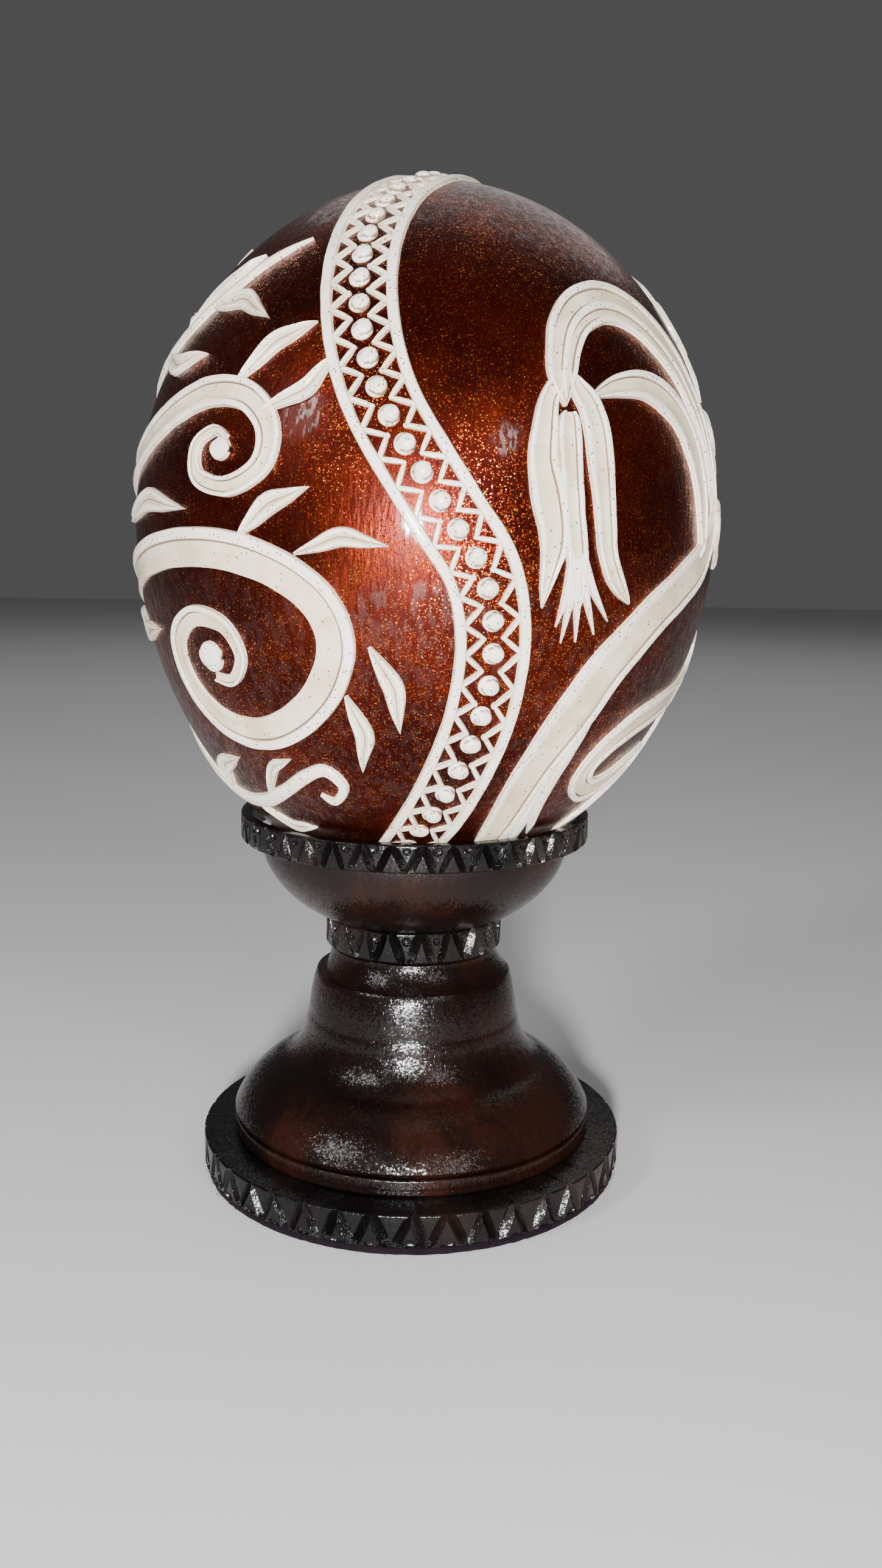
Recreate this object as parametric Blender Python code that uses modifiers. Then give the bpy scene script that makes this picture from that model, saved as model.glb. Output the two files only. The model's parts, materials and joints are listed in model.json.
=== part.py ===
"""A carved ostrich egg standing in a turned wooden cup with a bell-shaped foot.

The cup, neck, bell and foot are turned pieces stacked on one dowel. The egg
leans a little in its cup, on a loose ring of felt that is shaped to it.
Metres, +Z up. The origin is on the stand's axis, on the surface it stands on.
"""

import math

import bpy
import bmesh
from mathutils import Matrix, Vector

for old_object in list(bpy.data.objects):
    bpy.data.objects.remove(old_object, do_unlink=True)

MM = 0.001

# The egg, a body of revolution about its own leaning axis.
EGG_WIDTH = 126.0 * MM
EGG_LENGTH = 150.8 * MM
EGG_TAPER = 0.048        # share of the width lost at the lower end and gained at the upper
EGG_BLUNTNESS = -0.046   # share of the width lost towards both ends
EGG_LEAN = math.radians(3.5)
EGG_SIDE_STEP = 1.6 * MM     # the egg's centre beside the stand's axis, towards +X
SHELL_WALL = 2.0 * MM
BLOW_HOLE_RADIUS = 5.0 * MM

# The stand, from the bottom up.
FELT_RADIUS = 48.6 * MM
FELT_THICKNESS = 1.6 * MM
FOOT_RADIUS = 49.2 * MM
FOOT_HEIGHT = 7.3 * MM
PLINTH_RADIUS = 41.9 * MM
PLINTH_HEIGHT = 3.7 * MM
BELL_HEIGHT = 33.2 * MM
BELL_SHOULDER_RADIUS = 25.2 * MM
BELL_TOP_RADIUS = 21.2 * MM
BELL_LIP_ROUND = (2.0 * MM, 2.4 * MM)    # how wide and how tall the rounding of its upper edge is
BELL_SHOULDER_DROP = 0.40    # places on the bell, as shares of its height below its top
BELL_COVE_DROP = 0.645
BELL_ROLL_DROP = 0.97
BELL_ROLL_WIDTH = 11.2 * MM
DRUM_FOOT_RISE = 3.6 * MM    # the drum's lower edge, above the shoulder and inside it
DRUM_FOOT_INSET = 0.7 * MM
NECK_RADIUS = 19.0 * MM
NECK_HEIGHT = 6.2 * MM
NECK_FOOT_EDGE = 0.5 * MM
SPIGOT_INSET = 6.0 * MM      # how far inside the collar's outside the neck's spigot is
COLLAR_RADIUS = 20.5 * MM
COLLAR_HEIGHT = 7.0 * MM
RIM_RADIUS = 39.8 * MM
RIM_WALL = 2.3 * MM
RIM_HEIGHT = 6.0 * MM
RIM_OVERHANG = 4.6 * MM      # how far the rim stands out beyond the bowl's top edge
BOWL_WALL = 2.9 * MM
BOWL_FLOOR = 3.0 * MM
BOWL_SWELL = 1.6             # above 1 the bowl stays narrow for longer near its bottom
HOLLOW_UNDER_EGG = 5.2 * MM
HOLLOW_SLOPE = 5.0 * MM      # how much wider the hollow is at its top than at its floor
SEAT_HEIGHT = 4.0 * MM
SEAT_RISE = 0.25             # share of the seat ring's height that stands above the bowl's top edge
SEAT_LEDGE = 5.5 * MM
SEAT_OVERHANG = 2.0 * MM     # how far the seat ring reaches in beyond its ledge
SEAT_LIP = (0.6 * MM, 1.0 * MM)    # the step at the rim's foot, wide and tall, which clears the seat ring

# What holds the stand together.
DOWEL_RADIUS = 5.0 * MM
DOWEL_SINK = 1.8 * MM        # how far the dowel's ends stay inside the foot and the bowl
DOWEL_HOLE_TOP = 0.8 * MM    # wood left between the dowel's hole and the bowl's floor
SCREW_SHANK_RADIUS = 1.6 * MM
SCREW_HEAD_RADIUS = 3.6 * MM
SCREW_LENGTH = 16.0 * MM
SCREW_POINT = 2.5 * MM
SCREW_POINT_SHARE = 0.4      # the tip's radius as a share of the shank's
SCREW_HEAD_SINK = 0.4 * MM
SCREW_HOLE_MOUTH = 1.0 * MM  # how far a screw's hole is cut beyond the foot's underside
SCREW_CIRCLE_RADIUS = 22.0 * MM
SCREW_COUNT = 3

# Fits and carving.
GAP = 0.3 * MM               # between pieces that touch on the real object
EGG_RIM_GAP = 1.0 * MM       # between the egg's side and the rim, at the closest point
RIM_NOTCHES = 39
COLLAR_NOTCHES = 19
FOOT_NOTCHES = 40
RIM_NOTCH_DEPTH = 0.7 * MM
COLLAR_NOTCH_DEPTH = 1.1 * MM
FOOT_NOTCH_DEPTH = 1.2 * MM
NOTCH_MARGIN = 0.9 * MM      # plain edge above and below a row of notches
NOTCH_CLEARANCE = 2.2        # room between two notches' ends, as a multiple of their depth

# Edges that are taken off, and the felt's soft edge.
RIM_EDGE = 0.5 * MM
FOOT_EDGE = 0.6 * MM
SMALL_EDGE = 0.4 * MM
FELT_EDGE = 0.5 * MM

TURNED_STEPS = 48
SMALL_STEPS = 20

parts = bpy.data.collections.new("carved_egg_on_stand")
cutters = bpy.data.collections.new("cutters")
for collection in (parts, cutters):
    bpy.context.scene.collection.children.link(collection)
cutters.hide_render = True


# ---------------------------------------------------------------- materials

def material(name, colour, roughness, metallic=0.0):
    made = bpy.data.materials.new(name)
    made.use_nodes = True
    shader = made.node_tree.nodes["Principled BSDF"]
    shader.inputs["Base Color"].default_value = (*colour, 1.0)
    shader.inputs["Roughness"].default_value = roughness
    shader.inputs["Metallic"].default_value = metallic
    return made


LACQUERED_SHELL = material("lacquered_shell", (0.20, 0.035, 0.015), 0.2)
STAINED_WOOD = material("stained_wood", (0.045, 0.012, 0.008), 0.25)
BLACKENED_WOOD = material("blackened_wood", (0.012, 0.010, 0.010), 0.3)
SEAT_FELT = material("seat_felt", (0.02, 0.015, 0.02), 0.9)
BASE_FELT = material("base_felt", (0.03, 0.015, 0.03), 0.95)
PLAIN_WOOD = material("plain_wood", (0.45, 0.28, 0.14), 0.6)
SCREW_STEEL = material("screw_steel", (0.55, 0.55, 0.56), 0.35, 1.0)


# ------------------------------------------------------------------- tools

def as_mesh(made, name, finish, collection):
    """Replaces an object by the mesh that its modifiers give, with its place in the mesh."""
    bpy.context.view_layer.update()
    seen = made.evaluated_get(bpy.context.evaluated_depsgraph_get())
    mesh = bpy.data.meshes.new_from_object(seen)
    mesh.transform(made.matrix_world)
    bpy.data.objects.remove(made, do_unlink=True)
    mesh.name = name
    mesh.materials.clear()
    mesh.materials.append(finish)
    mesh.shade_smooth()
    mesh.set_sharp_from_angle(angle=math.radians(35))
    result = bpy.data.objects.new(name, mesh)
    collection.objects.link(result)
    return result


def turned(name, profile, finish, steps=TURNED_STEPS, closed=True, collection=parts):
    """Turns a profile of (radius, height) points, which runs down the outer side first."""
    last = len(profile) - 1
    edges = [(i, i + 1) for i in range(last)]
    if closed:
        edges.append((last, 0))
    outline = bpy.data.meshes.new(name)
    outline.from_pydata([(radius, 0.0, height) for radius, height in profile], edges, [])
    made = bpy.data.objects.new(name, outline)
    collection.objects.link(made)
    lathe = made.modifiers.new("Lathe", "SCREW")
    lathe.axis = "Z"
    lathe.steps = lathe.render_steps = steps
    lathe.use_merge_vertices = True
    lathe.merge_threshold = 0.00001
    return as_mesh(made, name, finish, collection)


def ring(outer, inner, top, bottom, chamfer=0.0):
    """The section of a ring, with its outer edges taken off by chamfer."""
    return [
        (inner, top), (outer - chamfer, top), (outer, top - chamfer),
        (outer, bottom + chamfer), (outer - chamfer, bottom), (inner, bottom),
    ]


def cut(made, cutter):
    """Cuts a piece with a cutter, and keeps the cutter out of the render."""
    cutter.hide_render = True
    cutter.display_type = "WIRE"
    name, finish = made.name, made.data.materials[0]
    boolean = made.modifiers.new("Cut", "BOOLEAN")
    boolean.object = cutter
    boolean.operation = "DIFFERENCE"
    return as_mesh(made, name, finish, parts)


def own_parent(made, name, place):
    """Puts a moving piece under an empty of its own, which lies on its joint's axis."""
    empty = bpy.data.objects.new(name, None)
    empty.matrix_world = place
    empty.empty_display_size = 0.02
    parts.objects.link(empty)
    made.parent = empty
    made.matrix_parent_inverse = place.inverted()


# ------------------------------------------------------------------ the egg

def egg_radius(along, grow=0.0):
    """The egg's radius where its axis is at this share of the half length, -1 to 1."""
    def shape(share):
        round_part = math.sqrt(max(0.0, 1.0 - share * share))
        return round_part * (1.0 + EGG_TAPER * share + EGG_BLUNTNESS * share * share)
    widest = max(shape(i / 200 - 0.5) for i in range(201))
    return (EGG_WIDTH / 2 + grow) * shape(along) / widest


def egg_outline(grow, steps):
    """The egg's outline from its upper end to its lower, moved outwards by grow."""
    half = EGG_LENGTH / 2 + grow
    angles = [math.pi * i / steps for i in range(steps + 1)]
    return [(egg_radius(math.cos(angle), grow), half * math.cos(angle)) for angle in angles]


def reach_at_rim(depth):
    """How far the egg reaches from the stand's axis, on its farther side, this far below its centre."""
    reaches = []
    for side in (-1, 1):
        across = 0.0
        for _ in range(20):
            along = across * math.sin(EGG_LEAN) - depth * math.cos(EGG_LEAN)
            radius = egg_radius(along / (EGG_LENGTH / 2))
            across = (side * radius - depth * math.sin(EGG_LEAN)) / math.cos(EGG_LEAN)
        reaches.append(abs(EGG_SIDE_STEP + across))
    return max(reaches)


def rim_depth():
    """How far the rim's upper edge lies below the egg's centre, where the egg just fits it."""
    target = RIM_RADIUS - RIM_WALL - EGG_RIM_GAP
    high, low = 0.0, EGG_LENGTH / 2 * math.cos(EGG_LEAN)
    for _ in range(60):
        middle = (high + low) / 2
        if reach_at_rim(middle) > target:
            high = middle
        else:
            low = middle
    return (high + low) / 2


bowl_top_radius = RIM_RADIUS - RIM_OVERHANG
bore_radius = DOWEL_RADIUS + GAP

# Heights, bottom up. The bowl is as deep as the egg needs.
foot_bottom = FELT_THICKNESS + GAP
foot_top = foot_bottom + FOOT_HEIGHT
plinth_top = foot_top + GAP + PLINTH_HEIGHT
bell_bottom = plinth_top + GAP
bell_top = bell_bottom + BELL_HEIGHT
neck_bottom = bell_top + GAP
neck_top = neck_bottom + NECK_HEIGHT
collar_bottom = neck_top + GAP
collar_top = collar_bottom + COLLAR_HEIGHT
bowl_bottom = collar_top + GAP
egg_foot_depth = rim_depth()
bowl_floor_top = bowl_bottom + BOWL_FLOOR
egg_low_point = bowl_floor_top + HOLLOW_UNDER_EGG
egg_centre = Vector((EGG_SIDE_STEP, 0.0, egg_low_point + EGG_LENGTH / 2 * math.cos(EGG_LEAN)))
rim_top = egg_centre.z - egg_foot_depth
rim_bottom = rim_top - RIM_HEIGHT
bowl_top = rim_bottom - GAP
egg_place = Matrix.Translation(egg_centre) @ Matrix.Rotation(EGG_LEAN, 4, "Y")


def make_eggshell():
    outer = egg_outline(0.0, 30)
    inner = egg_outline(-SHELL_WALL, 14)
    outer = [point for point in outer if point[0] > BLOW_HOLE_RADIUS or point[1] > 0]
    inner = [point for point in inner if point[0] > BLOW_HOLE_RADIUS or point[1] > 0]
    hole_share = math.sqrt(1 - (2 * BLOW_HOLE_RADIUS / EGG_WIDTH) ** 2)
    outer.append((BLOW_HOLE_RADIUS, -hole_share * EGG_LENGTH / 2))
    inner.append((BLOW_HOLE_RADIUS, -hole_share * (EGG_LENGTH / 2 - SHELL_WALL)))
    outer[0] = (0.0, outer[0][1])
    inner[0] = (0.0, inner[0][1])
    shell = turned("eggshell", outer + inner[::-1], LACQUERED_SHELL, closed=False)
    shell.data.transform(egg_place)
    own_parent(shell, "egg_axis", egg_place)


def egg_cutter():
    """The egg, larger by the gap, which shapes what the egg rests on."""
    outline = egg_outline(GAP, 40)
    outline[0] = (0.0, outline[0][1])
    outline[-1] = (0.0, outline[-1][1])
    cutter = turned("egg_cutter", outline, SEAT_FELT, closed=False, collection=cutters)
    cutter.data.transform(egg_place)
    return cutter


# ------------------------------------------------------------------ the cup

def bowl_outside(share):
    """The bowl's outer radius and height, from its bottom (0) to its top (1)."""
    angle = share * math.pi / 2
    spread = math.sin(angle) ** BOWL_SWELL
    rise = 1 - math.cos(angle)
    radius = COLLAR_RADIUS + (bowl_top_radius - COLLAR_RADIUS) * spread
    return radius, bowl_bottom + (bowl_top - bowl_bottom) * rise


seat_radius = bowl_top_radius - BOWL_WALL
seat_bottom = bowl_top - SEAT_HEIGHT * (1 - SEAT_RISE)
hollow_top_radius = seat_radius - SEAT_LEDGE
hollow_floor_radius = hollow_top_radius - HOLLOW_SLOPE


def make_cup_bowl():
    outside = [bowl_outside(1 - i / 12) for i in range(13)]
    inside = [
        (bore_radius, bowl_bottom),
        (bore_radius, bowl_floor_top - DOWEL_HOLE_TOP),
        (0.0, bowl_floor_top - DOWEL_HOLE_TOP),
    ]
    profile = [(0.0, bowl_floor_top), (hollow_floor_radius, bowl_floor_top)]
    wall_steps = 6
    for i in range(1, wall_steps + 1):
        angle = math.pi / 2 * i / wall_steps
        radius = hollow_floor_radius + (hollow_top_radius - hollow_floor_radius) * math.sin(angle)
        height = seat_bottom - GAP - (seat_bottom - GAP - bowl_floor_top) * math.cos(angle)
        profile.append((radius, height))
    profile += [(seat_radius, seat_bottom - GAP), (seat_radius, bowl_top)]
    profile += outside + inside
    turned("cup_bowl", profile, STAINED_WOOD, closed=False)


def make_seat_ring(cutter):
    inner = hollow_top_radius - SEAT_OVERHANG
    blank = ring(seat_radius - GAP, inner, seat_bottom + SEAT_HEIGHT, seat_bottom)
    made = cut(turned("seat_ring", blank, SEAT_FELT), cutter)
    own_parent(made, "lift_axis", Matrix.Translation((0.0, 0.0, seat_bottom)))


# ---------------------------------------------------------- chip-carved rings

def notch_cutter(name, radius, top, bottom, count, depth):
    """A row of slanting V-shaped cuts, two to a repeat, like a carver's zigzag."""
    pitch = 2 * math.pi * radius / count
    high, low = top - NOTCH_MARGIN, bottom + NOTCH_MARGIN
    run = pitch / 2 - NOTCH_CLEARANCE * depth
    length = math.hypot(run, high - low)
    slant = math.atan2(run, high - low)
    mesh = bmesh.new()
    for k in range(2 * count):
        side = 1 if k % 2 else -1
        turn = 2 * math.pi * (k + 0.5) / (2 * count)
        place = (
            Matrix.Rotation(turn, 4, "Z")
            @ Matrix.Translation((radius, 0.0, (high + low) / 2))
            @ Matrix.Rotation(side * slant, 4, "X")
            @ Matrix.Rotation(math.pi / 4, 4, "Z")
            @ Matrix.Diagonal((depth * math.sqrt(2), depth * math.sqrt(2), length, 1.0))
        )
        bmesh.ops.create_cube(mesh, size=1.0, matrix=place)
    data = bpy.data.meshes.new(name)
    mesh.to_mesh(data)
    mesh.free()
    cutter = bpy.data.objects.new(name, data)
    cutters.objects.link(cutter)
    return cutter


def make_rim_collar():
    seat_lip = seat_radius + GAP
    lip_width, lip_height = SEAT_LIP
    profile = [
        (RIM_RADIUS - RIM_WALL, rim_top), (RIM_RADIUS - RIM_EDGE, rim_top), (RIM_RADIUS, rim_top - RIM_EDGE),
        (RIM_RADIUS, rim_bottom + RIM_EDGE), (RIM_RADIUS - RIM_EDGE, rim_bottom),
        (seat_lip, rim_bottom), (seat_lip + lip_width, rim_bottom + lip_height),
    ]
    blank = turned("rim_collar", profile, BLACKENED_WOOD, steps=2 * RIM_NOTCHES)
    notches = notch_cutter("rim_notches", RIM_RADIUS, rim_top, rim_bottom, RIM_NOTCHES, RIM_NOTCH_DEPTH)
    cut(blank, notches)


def make_neck_collar(bore):
    profile = ring(COLLAR_RADIUS, bore, collar_top, collar_bottom, SMALL_EDGE)
    blank = turned("neck_collar", profile, BLACKENED_WOOD, steps=2 * COLLAR_NOTCHES)
    notches = notch_cutter(
        "collar_notches", COLLAR_RADIUS, collar_top, collar_bottom, COLLAR_NOTCHES, COLLAR_NOTCH_DEPTH
    )
    cut(blank, notches)


def make_foot_disc(screws):
    profile = ring(FOOT_RADIUS, bore_radius, foot_top, foot_bottom, FOOT_EDGE)
    blank = turned("foot_disc", profile, BLACKENED_WOOD, steps=2 * FOOT_NOTCHES)
    notches = notch_cutter("foot_notches", FOOT_RADIUS, foot_top, foot_bottom, FOOT_NOTCHES, FOOT_NOTCH_DEPTH)
    cut(cut(blank, notches), screws)


# ------------------------------------------------------------- neck and bell

def smooth_run(start, end, steps, fullness):
    """A run from one point of a profile to another, between a straight line and a quarter arc.

    A fullness above 0 bulges outwards, as round a roll, and one below 0 hollows the run, as in a cove.
    """
    points = []
    for i in range(1, steps + 1):
        share = i / steps
        angle = math.pi / 2 * share
        arc = (math.sin(angle), 1 - math.cos(angle))
        if fullness < 0:
            arc = arc[::-1]
        across, down = (share + abs(fullness) * (part - share) for part in arc)
        points.append((start[0] + (end[0] - start[0]) * across, start[1] + (end[1] - start[1]) * down))
    return points


def make_neck_post():
    """The plain waist, which spreads to the bell's top, with a spigot that the carved collar slips over."""
    spigot = COLLAR_RADIUS - SPIGOT_INSET
    edge_top = neck_bottom + NECK_FOOT_EDGE
    cove_top = edge_top + BELL_TOP_RADIUS - NECK_RADIUS
    profile = [(bore_radius, collar_top - GAP), (spigot, collar_top - GAP), (spigot, neck_top)]
    profile += [(NECK_RADIUS, neck_top), (NECK_RADIUS, cove_top)]
    profile += smooth_run((NECK_RADIUS, cove_top), (BELL_TOP_RADIUS, edge_top), 4, -0.9)
    profile += [(BELL_TOP_RADIUS, neck_bottom), (bore_radius, neck_bottom)]
    turned("neck_post", profile, STAINED_WOOD)
    return spigot + GAP


def make_pedestal_bell(screws):
    """A slightly flared drum, a cove that sweeps outwards, and a round roll above the plinth."""
    lip_width, lip_height = BELL_LIP_ROUND
    lip = (BELL_TOP_RADIUS + lip_width, bell_top - lip_height)
    shoulder = (BELL_SHOULDER_RADIUS, bell_top - BELL_HEIGHT * BELL_SHOULDER_DROP)
    drum_foot = (BELL_SHOULDER_RADIUS - DRUM_FOOT_INSET, shoulder[1] + DRUM_FOOT_RISE)
    sweep = (PLINTH_RADIUS - BELL_ROLL_WIDTH, bell_top - BELL_HEIGHT * BELL_COVE_DROP)
    roll = (PLINTH_RADIUS, bell_top - BELL_HEIGHT * BELL_ROLL_DROP)
    profile = [(bore_radius, bell_top), (BELL_TOP_RADIUS, bell_top)]
    profile += smooth_run(profile[-1], lip, 3, 1.0)
    profile += [drum_foot, shoulder]
    profile += smooth_run(shoulder, sweep, 5, -0.55)
    profile += smooth_run(sweep, roll, 7, 0.45)
    profile += [(PLINTH_RADIUS, bell_bottom), (bore_radius, bell_bottom)]
    cut(turned("pedestal_bell", profile, STAINED_WOOD), screws)


def make_plinth_ring(screws):
    profile = ring(PLINTH_RADIUS, bore_radius, plinth_top, foot_top + GAP, SMALL_EDGE)
    cut(turned("plinth_ring", profile, STAINED_WOOD), screws)


# ----------------------------------------------------- felt, dowel and screws

def make_felt_pad():
    profile = [
        (0.0, FELT_THICKNESS), (FELT_RADIUS - FELT_EDGE, FELT_THICKNESS),
        (FELT_RADIUS, FELT_THICKNESS / 2), (FELT_RADIUS - FELT_EDGE, 0.0), (0.0, 0.0),
    ]
    turned("felt_pad", profile, BASE_FELT, closed=False)


def make_centre_dowel():
    low = foot_bottom + DOWEL_SINK
    high = bowl_bottom + DOWEL_SINK
    profile = [
        (0.0, high), (DOWEL_RADIUS - SMALL_EDGE, high), (DOWEL_RADIUS, high - SMALL_EDGE),
        (DOWEL_RADIUS, low + SMALL_EDGE), (DOWEL_RADIUS - SMALL_EDGE, low), (0.0, low),
    ]
    turned("centre_dowel", profile, PLAIN_WOOD, steps=SMALL_STEPS, closed=False)


def screw_profile(grow):
    """A countersunk screw from its tip, which is up, to the wide edge of its head, moved outwards by grow."""
    head_bottom = foot_bottom + SCREW_HEAD_SINK
    tip = head_bottom + SCREW_LENGTH
    head_height = SCREW_HEAD_RADIUS - SCREW_SHANK_RADIUS
    return [
        (0.0, tip + grow), (SCREW_SHANK_RADIUS * SCREW_POINT_SHARE + grow, tip + grow),
        (SCREW_SHANK_RADIUS + grow, tip - SCREW_POINT + grow),
        (SCREW_SHANK_RADIUS + grow, head_bottom + head_height + grow),
        (SCREW_HEAD_RADIUS + grow, head_bottom + grow),
    ]


def screw_places():
    for k in range(SCREW_COUNT):
        turn = 2 * math.pi * (k + 0.5) / SCREW_COUNT
        yield Matrix.Translation(Vector((math.cos(turn), math.sin(turn), 0.0)) * SCREW_CIRCLE_RADIUS)


def make_screws():
    outline = screw_profile(0.0)
    outline.append((0.0, outline[-1][1]))
    for k, place in enumerate(screw_places(), start=1):
        made = turned(f"foot_screw_{k}", outline, SCREW_STEEL, steps=12, closed=False)
        made.data.transform(place)


def screw_cutter():
    """All the screws, larger by the gap and open at the foot's underside, as one cutter."""
    mouth = foot_bottom - SCREW_HOLE_MOUTH
    outline = screw_profile(GAP)
    outline += [(outline[-1][0], mouth), (0.0, mouth)]
    single = turned("screw_cutter", outline, SCREW_STEEL, 16, False, cutters)
    mesh = bmesh.new()
    for place in screw_places():
        start = len(mesh.verts)
        mesh.from_mesh(single.data)
        mesh.verts.ensure_lookup_table()
        bmesh.ops.transform(mesh, matrix=place, verts=mesh.verts[start:])
    mesh.to_mesh(single.data)
    mesh.free()
    return single


screw_holes = screw_cutter()
make_felt_pad()
make_foot_disc(screw_holes)
make_plinth_ring(screw_holes)
make_pedestal_bell(screw_holes)
make_neck_collar(make_neck_post())
make_cup_bowl()
make_rim_collar()
make_seat_ring(egg_cutter())
make_centre_dowel()
make_screws()
make_eggshell()
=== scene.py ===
# %% [markdown]
# # A carved and lacquered ostrich egg on a turned stand
#
# The real object is a blown ostrich egg. Its outer skin was cut back around an ornament, the ground was
# painted with dark red lacquer full of copper flakes, and the ornament was left as bare ivory shell. It
# stands in a cup that was turned from dark wood, with chip-carved rings and a felt sole.
#
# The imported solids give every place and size. They are loaded first and are never changed. A finer piece
# can stand for one of them and rides on the same body, so that the egg still lifts and turns.

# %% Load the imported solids
import json
import math
import random

import bpy
from mathutils import Matrix, Vector, noise


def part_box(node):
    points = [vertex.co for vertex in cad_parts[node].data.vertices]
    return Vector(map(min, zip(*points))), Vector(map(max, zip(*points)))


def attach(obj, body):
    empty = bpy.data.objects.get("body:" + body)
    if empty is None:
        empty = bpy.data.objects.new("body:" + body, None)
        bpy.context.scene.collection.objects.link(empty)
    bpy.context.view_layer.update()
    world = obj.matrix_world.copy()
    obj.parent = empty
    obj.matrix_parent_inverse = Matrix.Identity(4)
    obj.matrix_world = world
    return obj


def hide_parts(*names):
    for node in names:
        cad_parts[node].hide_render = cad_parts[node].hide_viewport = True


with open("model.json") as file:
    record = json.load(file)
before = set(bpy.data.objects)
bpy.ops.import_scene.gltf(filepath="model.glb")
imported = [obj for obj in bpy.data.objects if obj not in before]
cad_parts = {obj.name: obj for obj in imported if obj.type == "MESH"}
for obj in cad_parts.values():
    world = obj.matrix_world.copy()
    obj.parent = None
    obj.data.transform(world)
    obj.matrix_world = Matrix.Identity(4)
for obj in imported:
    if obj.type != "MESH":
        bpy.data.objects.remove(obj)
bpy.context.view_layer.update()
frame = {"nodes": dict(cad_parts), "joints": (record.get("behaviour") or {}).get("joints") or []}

# %% [markdown]
# ## Units and small helpers
#
# Blender's unit is the metre, and a maker thinks of such an object in millimetres, so sizes are written
# as a number times MM. Every operator acts on what is selected, so each new piece starts from an empty
# selection. A finished piece is smoothed by angle, which keeps turned edges crisp.

# %% Small helpers
MM = 0.001
TURN = 2 * math.pi


def mode(name):
    bpy.ops.object.mode_set(mode=name)


def only(*pieces):
    """Selects these pieces and makes the first one active."""
    bpy.ops.object.select_all(action="DESELECT")
    for piece in pieces:
        piece.select_set(True)
    bpy.context.view_layer.objects.active = pieces[0]


def named(piece, name):
    piece.name = name
    piece.data.name = name
    return piece


def close_up(piece, merge=0.01 * MM, smooth=40):
    """Merges doubles, turns the faces outwards and smooths all but the sharp edges."""
    only(piece)
    mode("EDIT")
    bpy.ops.mesh.select_all(action="SELECT")
    bpy.ops.mesh.remove_doubles(threshold=merge)
    bpy.ops.mesh.normals_make_consistent(inside=False)
    mode("OBJECT")
    bpy.ops.object.shade_smooth_by_angle(angle=math.radians(smooth))
    return piece


def joined(pieces, name):
    """Makes one piece of several."""
    only(*pieces)
    bpy.ops.object.join()
    return named(bpy.context.object, name)


def blended(low, high, part):
    return low + (high - low) * part


def eased(part):
    """A step from 0 to 1 that starts and ends gently."""
    part = min(max(part, 0), 1)
    return part * part * (3 - 2 * part)


print("helpers ready")

# %% [markdown]
# ## Shader maths written as sums
#
# A node tree is easier to read as an expression. `Wire` holds one output socket and overloads the
# operators, so `1 - mask` adds a Math node. `Finish` holds one material. Its `node` method adds any other
# node: first its settings, then what goes into its sockets.

# %% Wires and finishes
class Wire:
    """An output socket that can be added, multiplied and compared."""

    def __init__(self, finish, socket):
        self.finish = finish
        self.socket = socket

    def maths(self, operation, first, second):
        return self.finish.node("ShaderNodeMath", {"operation": operation}, {0: first, 1: second})

    def __add__(self, other):
        return self.maths("ADD", self, other)

    def __radd__(self, other):
        return self.maths("ADD", other, self)

    def __sub__(self, other):
        return self.maths("SUBTRACT", self, other)

    def __rsub__(self, other):
        return self.maths("SUBTRACT", other, self)

    def __mul__(self, other):
        return self.maths("MULTIPLY", self, other)

    def __rmul__(self, other):
        return self.maths("MULTIPLY", other, self)

    def __lt__(self, other):
        return self.maths("LESS_THAN", self, other)


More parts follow.
